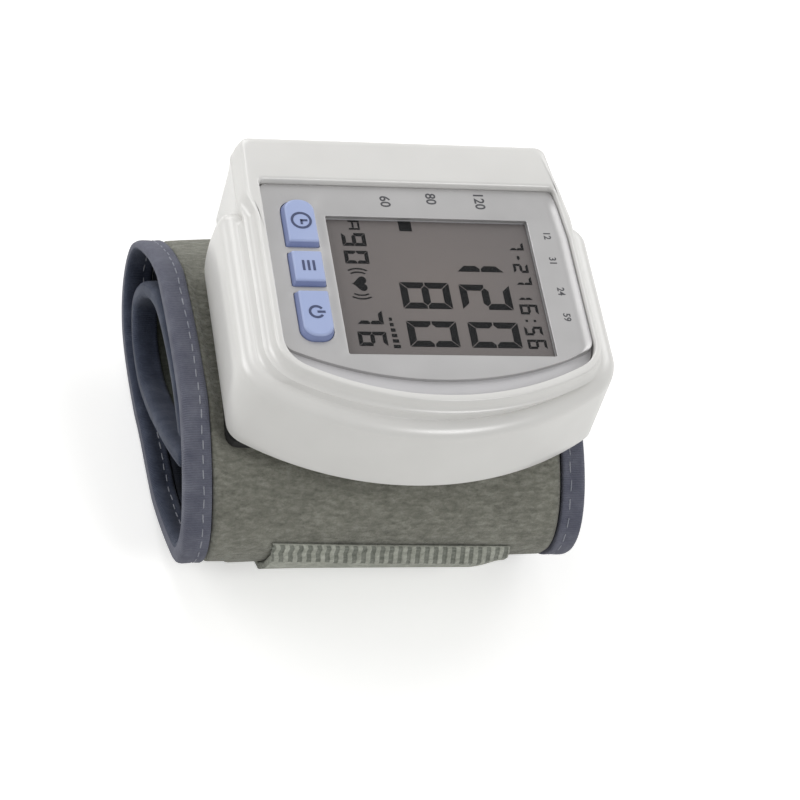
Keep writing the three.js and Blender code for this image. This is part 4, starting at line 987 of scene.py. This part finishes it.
def stroke_shape(points, width):
    """A bent line of even width, as a plane outline."""
    line = np.asarray(points, float)
    steps = np.gradient(line, axis=0)
    steps /= np.linalg.norm(steps, axis=1)[:, None]
    side = np.stack([-steps[:, 1], steps[:, 0]], axis=1) * width / 2
    return np.concatenate([line + side, (line - side)[::-1]])


def spun(radius, start, end, y):
    """An arc on a key. Turn 0 points to the top of a figure, +X."""
    turns = np.linspace(start, end, 28)
    return np.stack([KEY_CENTER + radius * np.cos(turns), y - radius * np.sin(turns)], axis=1)


def pictogram(name, key, shapes):
    solid_plates(name, shapes, KEY_TOP - 0.02, KEY_TOP + 0.09, [key_ink], body=f"{key}_key")


LINE, HAND, RING_OPEN = 0.5, 0.46, 0.62
clock_y, list_y, power_y = 14.6, 3.05, -8.6
pictogram("clock_mark", "time", [
    stroke_shape(spun(1.9, 0, pi, clock_y), LINE),
    stroke_shape(spun(1.9, pi, 2 * pi, clock_y), LINE),
    stroke_shape([(KEY_CENTER - 0.2, clock_y), (KEY_CENTER + 1.25, clock_y)], HAND),
    stroke_shape([(KEY_CENTER, clock_y + 0.2), (KEY_CENTER, clock_y - 1.0)], HAND),
])
pictogram("list_mark", "memory", [
    stroke_shape([(KEY_CENTER + dx, list_y + 1.25), (KEY_CENTER + dx, list_y - 1.25)], LINE)
    for dx in (-1.05, 0, 1.05)
])
pictogram("power_mark", "power", [
    stroke_shape(spun(1.35, RING_OPEN, 2 * pi - RING_OPEN, power_y), LINE),
    stroke_shape([(KEY_CENTER + 0.15, power_y), (KEY_CENTER + 1.75, power_y)], LINE),
])


# ---- the cuff. Turns round its loop start at the far side, and 90 degrees is under the case

def loop_points(turns, inset):
    """Points (y, z) of the flattened loop, at a distance inside its outer face."""
    y, z = LOOP_DEPTH * np.cos(turns), LOOP_HEIGHT * np.sin(turns)
    ny, nz = y / LOOP_DEPTH ** 2, z / LOOP_HEIGHT ** 2
    length = np.hypot(ny, nz)
    inset = np.broadcast_to(inset, turns.shape)
    low = LOOP_FOOT + np.maximum(inset, 0)
    high = LOOP_TOP - inset
    return np.stack([
        LOOP_AHEAD + y - ny / length * inset,
        np.clip(LOOP_Z + z - nz / length * inset, low, high),
    ], axis=-1)


AROUND = 240
TURNS = np.linspace(0, 2 * pi, AROUND, endpoint=False)


def hump(turns, middle, reach):
    """A smooth rise to 1 at a turn, and back to 0 at a reach from it, in degrees."""
    away = (turns - radians(middle) + pi) % (2 * pi) - pi
    return share_of(np.abs(away), radians(reach), 0)


def drape(turns, x):
    """How far the cuff sinks in from the plain loop. It sags under its near side, its open end
    stands up under the case, and over the bladder it keeps its distance."""
    sag = (1.4 - x / 33) * hump(turns, 228, 72)
    stands_up = 3.7 * share_of(-x, 33.4, 37.4) * hump(turns, 93, 62)
    total = sag - stands_up + 0.8 * hump(turns, 35, 40) * share_of(-x, 10, 41)
    over_bladder = share_of(turns, radians(212), radians(205)) * share_of(np.abs(x), 34, 30)
    return np.minimum(total, 1.2 + 3 * (1 - over_bladder))


def end_shift(turns, x):
    """How far the cuff's open end draws back along the cuff."""
    drawn = 0.9 * hump(turns, 225, 45) + 0.85 * hump(turns, 272, 50) - 0.55 * hump(turns, 325, 45)
    return share_of(-x, 35, 41.7) * drawn


def flattened(turns, x):
    """The cuff's thickness as a share: its open end is pressed flat at the far side."""
    return 1 - 0.6 * hump(turns, 35, 85) * share_of(-x, 26, 36)


def cuff_ring(x, inset):
    loop = loop_points(TURNS, inset + drape(TURNS, x))
    return np.column_stack([x + end_shift(TURNS, x), loop])


def waves(seed, x, count, low, high):
    """Soft random waves over the cloth: a seeded sum of sines, from -1 to 1 or so."""
    draw = np.random.default_rng(seed)
    total = np.zeros(AROUND)
    for _ in range(count):
        around = draw.integers(low, high)
        along = draw.uniform(-1, 1) * 0.22
        total += np.sin(around * TURNS + along * x + draw.uniform(0, 2 * pi))
    return total / count ** 0.5 / 1.4


def cover_cloth():
    """The padded outer cloth. It turns in at its ends, where the tapes cover it."""
    stations = np.linspace(-CLOTH_END[-1], CLOTH_END[1], 150)
    rings = []
    for x in stations:
        to_end = min(CLOTH_END[-1] + x, CLOTH_END[1] - x)
        puff = 0.14 * waves(3, x, 9, 3, 17) * min(to_end / 4, 1)
        rings.append(cuff_ring(x, np.maximum(-puff, -0.25) + 0.5 * share_of(to_end, 1.1, 0)))
    rings += [cuff_ring(x, CLOTH * flattened(TURNS, x)) for x in stations[::-1]]
    return skin("cuff_cloth", from_cuff(rings), [sage_loop], closed=True, flip=True, slot="cuff_cloth",
                woven=True)


def lining():
    stations = np.linspace(-CLOTH_END[-1], CLOTH_END[1], 60)
    rings = [cuff_ring(x, LINING_FACE * flattened(TURNS, x)) for x in stations]
    for x in stations[::-1]:
        puff = np.clip(0.25 * waves(11, x, 9, 4, 19), -0.3, 0.3)
        rings.append(cuff_ring(x, (CUFF_THICK + puff) * flattened(TURNS, x)))
    # The lining's navy holds painted shade from deep inside the loop
    return skin("lining_cloth", from_cuff(rings), [navy_nylon_and_painted_shade], closed=True, flip=True,
                slot="lining_cloth", woven=True)


# The tape's cross section: distance from the cuff's end, and depth inside the loop's outer face
TAPE_PROFILE = [
    (5.5, 0.9), (5.5, 0.1), (5.42, -0.12), (5.2, -0.24), (4.8, -0.25), (4.3, -0.2), (3.95, -0.14),
    (3.7, -0.12), (3.45, -0.15), (3.0, -0.24), (2.3, -0.3), (1.5, -0.32), (0.9, -0.24), (0.45, -0.02),
    (0.15, 0.35), (0.03, 0.9), (0, 2.0), (0.03, 3.0), (0.18, 3.6), (0.5, 4.0), (1.0, 4.25), (1.7, 4.38),
    (2.5, 4.36), (3.2, 4.22), (3.7, 4.12), (4.2, 4.2), (4.8, 4.3), (5.3, 4.22), (5.5, 4.0), (5.5, 3.1),
    (5.5, 2.0),
]
TAPE_FOLD = TAPE_PROFILE.index((0, 2.0))


def binding(side, name):
    """A binding tape, folded over the cuff's end. Its inner half is navy, like the lining."""
    wave = 0.08 * waves(5 + side, 0, 7, 4, 15)
    rings = []
    for away, inset in TAPE_PROFILE:
        outer = min(max((1.5 - inset) / 1.5, 0), 1)
        pucker = 0.05 * np.sin(TURNS * 77) * (1 if 2.4 < away < 5 else 0.2)
        x = side * (CUFF_END[side] - away * TAPE_SHARE[side])
        inset = inset * flattened(TURNS, x) if inset > 0 else inset
        rings.append(cuff_ring(x, inset - (pucker + wave) * (outer * 2 - 1) * 0.5))
    inner = [k > TAPE_FOLD for k in range(len(TAPE_PROFILE))]
    tape = skin(f"{name}_binding_tape", from_cuff(rings), [slate_tape, navy_tape], closed=True,
                flip=side > 0, slot="binding_tape", woven=True, face_material=np.repeat(inner, AROUND))
    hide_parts(f"{name}_binding")
    return tape


# A stitch along its length, and its radius there, as shares
STITCH_PROFILE = [(-0.46, 0.55), (-0.36, 0.9), (0.36, 0.9), (0.46, 0.55)]
STITCH_SIDES, STITCH_FLAT = 6, 0.7


def stitch_row(name, centres, ways, normals, length, radius, material, slot):
    """Short thread capsules along a seam, each with rounded ends."""
    points, faces = [], []
    for centre, way, normal in zip(centres, ways, normals):
        way = way / np.linalg.norm(way)
        normal = normal - way * (normal @ way)
        normal /= np.linalg.norm(normal)
        across = np.cross(way, normal)
        start = len(points)
        for along, share in STITCH_PROFILE:
            for k in range(STITCH_SIDES):
                turn = 2 * pi * k / STITCH_SIDES
                points.append(centre + way * along * length + radius * share
                              * (across * cos(turn) + normal * sin(turn) * STITCH_FLAT))
        tips = len(points)
        points.extend([centre - way * length / 2, centre + way * length / 2])
        for low in range(start, tips - STITCH_SIDES, STITCH_SIDES):
            for k in range(STITCH_SIDES):
                j = (k + 1) % STITCH_SIDES
                faces.append((low + k, low + STITCH_SIDES + k, low + STITCH_SIDES + j, low + j))
        last = tips - STITCH_SIDES
        for k in range(STITCH_SIDES):
            j = (k + 1) % STITCH_SIDES
            faces.append((tips, start + k, start + j))
            faces.append((tips + 1, last + j, last + k))
    weave = [(0.0, 0.0)] * sum(len(f) for f in faces)
    add_object(name, np.array(points), faces, [material], slot=slot, weave=weave)


def loop_seam(name, x, inset, pitch, outward, seed):
    """A row of stitches round the cuff, each a little off its place."""
    fine = np.linspace(0, 2 * pi, 2000)
    inset = inset * flattened(fine, x) if inset > 0 else inset
    loop = loop_points(fine, inset + drape(fine, x))
    line = np.column_stack([x + end_shift(fine, x), loop])
    steps = np.linalg.norm(np.diff(line, axis=0), axis=1)
    along = np.concatenate([[0], np.cumsum(steps)])

    def on_seam(spots):
        return np.stack([np.interp(spots, along, line[:, k]) for k in range(3)], axis=1)

    count = int(along[-1] / pitch)
    draw = np.random.default_rng(seed)
    spots = (np.arange(count) + 0.5 + draw.uniform(-0.07, 0.07, count)) * along[-1] / count
    centre = on_seam(spots)
    centre[:, 0] += draw.uniform(-0.12, 0.12, count)
    way = on_seam(spots + 0.2) - on_seam(spots - 0.2)
    normal = np.cross(way, (1, 0, 0)) * outward
    way[:, 0] += draw.uniform(-0.03, 0.03, count)
    stitch_row(name, from_cuff(centre), cuff_ways(way), cuff_ways(normal), pitch * 0.64, 0.15, thread,
               "binding_tape")


cover = cover_cloth()
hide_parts("cuff_cover")
inside = lining()
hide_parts("cuff_lining")
for side, name, pitch in ((-1, "left", 3.0), (1, "right", 3.9)):
    binding(side, name)
    seam_x = side * (CUFF_END[side] - SEAM_AWAY * TAPE_SHARE[side])
    loop_seam(f"{name}_outer_stitches", seam_x, -0.14, pitch, 1, 21 + side)
    loop_seam(f"{name}_inner_stitches", seam_x, 4.16, pitch, -1, 31 + side)


# ---- the cuff's inner end, curled inside it

# The middle of its section, as shares of the loop's half depth and half height
FLAP_ROUTE = [
    (-0.5, 0.76), (-0.2, 0.86), (0.12, 0.85), (0.4, 0.74), (0.6, 0.5), (0.76, 0.16), (0.84, -0.18),
    (0.81, -0.4), (0.66, -0.6), (0.4, -0.63), (0.14, -0.45), (-0.14, -0.14), (-0.42, 0.22),
    (-0.6, 0.48),
]
# The tape at its ends: distance from the end, and how far it stands out from the cloth
FLAP_TAPE_PROFILE = [
    (5.1, 0.02), (5.0, 0.2), (4.4, 0.24), (3.9, 0.17), (3.4, 0.24), (2.2, 0.3), (1.1, 0.24), (0.5, 0.0),
    (0.15, -0.4), (0.0, -0.8),
]


def smooth_route(knots, count):
    """A Catmull-Rom curve through the knots, in even steps, with its directions."""
    knots = np.asarray(knots, float)
    ends = np.vstack([2 * knots[0] - knots[1], knots, 2 * knots[-1] - knots[-2]])
    fine = []
    for k in range(len(knots) - 1):
        p0, p1, p2, p3 = ends[k:k + 4]
        for t in np.linspace(0, 1, 24, endpoint=False):
            fine.append(0.5 * ((2 * p1) + (p2 - p0) * t + (2 * p0 - 5 * p1 + 4 * p2 - p3) * t ** 2
                               + (3 * p1 - p0 - 3 * p2 + p3) * t ** 3))
    fine.append(knots[-1])
    line = resample(fine, count)
    ways = np.gradient(line, axis=0)
    return line, ways / np.linalg.norm(ways, axis=1)[:, None]


flap_knots = [(LOOP_AHEAD + y * (LOOP_DEPTH - CUFF_THICK), LOOP_Z + z * (LOOP_HEIGHT - CUFF_THICK))
              for y, z in FLAP_ROUTE]
flap_line, flap_ways = smooth_route(flap_knots, 110)


def flap_ring(x, grow):
    """The outline of its section: both faces, with rounded tips."""
    half = FLAP_THICK / 2 + grow
    sides = np.stack([flap_ways[:, 1], -flap_ways[:, 0]], axis=1) * half
    tips = []
    for point, way in ((flap_line[-1], flap_ways[-1]), (flap_line[0], -flap_ways[0])):
        normal = np.array([way[1], -way[0]])
        tips.append([point + normal * half * cos(turn) + way * half * sin(turn)
                     for turn in np.linspace(0, pi, 8)[1:-1]])
    loop = np.concatenate([flap_line + sides, tips[0], (flap_line - sides)[::-1], tips[1]])
    return from_cuff(np.column_stack([np.full(len(loop), x), loop]))


cloth_half = FLAP_HALF - 4.6
# The flap's cloth is the sage cloth with the shade inside the loop painted into its colour
flap_cloth = skin("inner_flap_cloth", [flap_ring(x, 0.12 * np.sin(x * 0.6))
                                       for x in np.linspace(-cloth_half, cloth_half, 50)],
                  [sage_loop_painted_shade], slot="lining_cloth", woven=True)
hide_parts("inner_flap")
for side, name in ((-1, "left"), (1, "right")):
    skin(f"{name}_flap_tape", [flap_ring(side * (FLAP_HALF - away), grow)
                               for away, grow in FLAP_TAPE_PROFILE],
         [navy_tape], flip=side > 0, slot="binding_tape", woven=True)


# ---- the closing strap

STRAP_LEFT, STRAP_RIGHT = -23.2, 28.3
STRAP_TOP, STRAP_SKEW, STRAP_FOOT = radians(170.5), radians(9.5), radians(237)
RIB_MM, RIBS_END = 1.95, 5.0


def strap():
    """The hooked strap's webbing: upright ribs below its top edge, then a plain band that goes under
    the cuff. It hangs skewed, its ends are ragged, and it is thicker towards its right end."""
    draw = np.random.default_rng(8)
    around = np.linspace(0, 1, 70)
    ragged, frayed = (np.interp(around, np.linspace(0, 1, 24), draw.uniform(-reach, reach, 24))
                      for reach in (0.35, 0.5))
    rings, kinds, dashes, flat_length = [], [], [], 0.0
    for u in np.linspace(0, 1, 420):
        x = STRAP_LEFT + ragged + (STRAP_RIGHT + frayed - STRAP_LEFT - ragged) * u
        middle_x = between((STRAP_LEFT, STRAP_RIGHT), u)
        turns = between((STRAP_TOP + STRAP_SKEW * u, STRAP_FOOT), around)
        sunk = drape(turns, x) - GAP
        under = loop_points(turns, sunk)
        down_mm = np.concatenate([[0], np.cumsum(np.hypot(*np.diff(under, axis=0).T))])
        flat_length = max(flat_length, down_mm[-1])
        phase = abs((middle_x - STRAP_LEFT) / RIB_MM % 1 - 0.5) * 2
        rib = share_of(phase, 0.72, 0.3)
        zone = share_of(down_mm, -0.1, 0.3) * share_of(down_mm, RIBS_END, RIBS_END - 1.2)
        worn = 1 - 0.6 * share_of(u, 0.86, 1)
        full = (1.4 + 0.9 * u) * worn
        rise = 0.3 + (full - 0.3) * share_of(down_mm, 0, 4.5) - 0.25 * (1 - rib) * zone
        over = loop_points(turns, sunk - rise)
        rings.append(np.concatenate([np.column_stack([x, over]), np.column_stack([x, under])[::-1]]))
        # The sunk strips between the ribs take the darker webbing, a painted shade
        gap = np.logical_and(rib < 0.5, zone > 0.5)
        kinds.append(np.concatenate([gap, np.zeros(len(gap), bool)]))
        # One stitch between two ribs
        far_enough = not dashes or middle_x - dashes[-1][0] > 1
        if phase > 0.96 and far_enough and middle_x < STRAP_RIGHT - 1:
            spot = loop_points(turns[3:4], sunk[3:4] - rise[3] - 0.02)[0]
            dashes.append((middle_x, *spot))
    kinds = np.concatenate([np.array(kinds[:-1], int).ravel(), [0, 0]])
    made = skin("strap_webbing", from_cuff(rings), [strap_weave, strap_gap_painted_shade], slot="cuff_cloth",
                woven=True, face_material=kinds)
    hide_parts("closing_strap")
    along = cuff_ways(np.tile((1.0, 0.0, 0.0), (len(dashes), 1)))
    outward = np.tile((0.0, -1.0, 0.3), (len(dashes), 1))
    stitch_row("strap_stitches", from_cuff(dashes), along, outward, 1.3, 0.13, sage_thread,
               "cuff_cloth")


strap()


# ---- the two cells

# Distance from the flat end, radius, and whether the face beyond is bare steel
CELL_PROFILE = [
    (0.2, 3.9, 0), (0.05, 4.2, 0), (0, 4.6, 0), (0.1, 5.0, 0), (0.3, 5.2, 0), (0.55, 5.25, 0),
    (2.5, 5.25, 0), (41.2, 5.25, 0), (43.15, 5.25, 0), (43.4, 5.2, 0), (43.6, 5.0, 0), (43.7, 4.6, 0),
    (43.65, 4.2, 0), (43.5, 3.9, 1), (43.5, 2.25, 1), (43.6, 2.0, 1), (43.75, 1.9, 1), (44.3, 1.9, 1),
    (44.45, 1.8, 1), (44.5, 1.6, 1),
]


def dry_cell(name, node, nub_side):
    """An AAA cell: a plain sleeve shrunk over the edges of a steel can, with its nub at one end."""
    low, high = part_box(node)
    middle = np.array((low + high) / 2) / MM - ORIGIN
    circle = np.linspace(0, 2 * pi, 64, endpoint=False)
    rings = []
    for s, radius, _ in CELL_PROFILE:
        x = middle[0] + nub_side * (s - CELL_PROFILE[-1][0] / 2)
        rings.append(np.column_stack([np.full(len(circle), x), middle[1] + radius * np.cos(circle),
                                      middle[2] + radius * np.sin(circle)]))
    bare_steel = [bare for _, _, bare in CELL_PROFILE[:-1]]
    kinds = np.concatenate([np.repeat(bare_steel, len(circle)), [1, 1]])
    made = skin(name, rings, [cell_sleeve, plated_steel], flip=nub_side < 0, slot="cell_sleeve",
                face_material=kinds, angle=50)
    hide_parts(node)


dry_cell("dry_cell_1", "battery_1", 1)
dry_cell("dry_cell_2", "battery_2", -1)


# ---- finishes of the CAD solids that stay

CAD_FINISH = [
    (white_abs, "lower_case battery_cover"),
    (acrylic, "display_lens"),
    (lcd_grey, "lcd_glass"),
    (carbon_rubber, "lcd_contact_strip"),
    (board_green, "circuit_board"),
    (black_abs, "lcd_frame time_switch memory_switch power_switch buzzer pressure_sensor pump_head "
                "air_manifold"),
    (silicone, "pump_tube valve_tube"),
    (black_nylon, "cuff_bracket"),
    (bladder_pvc, "air_bladder"),
    (plated_steel, "pump_motor release_valve bracket_lock_ring case_screw_1 case_screw_2 "
                   "case_screw_3 case_screw_4 board_screw_1 board_screw_2 board_screw_3 "
                   "board_screw_4 contact_left_1 contact_left_2 contact_right_1 contact_right_2"),
]
for material, names in CAD_FINISH:
    for name in names.split():
        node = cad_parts[name]
        node.data.materials.clear()
        node.data.materials.append(material)
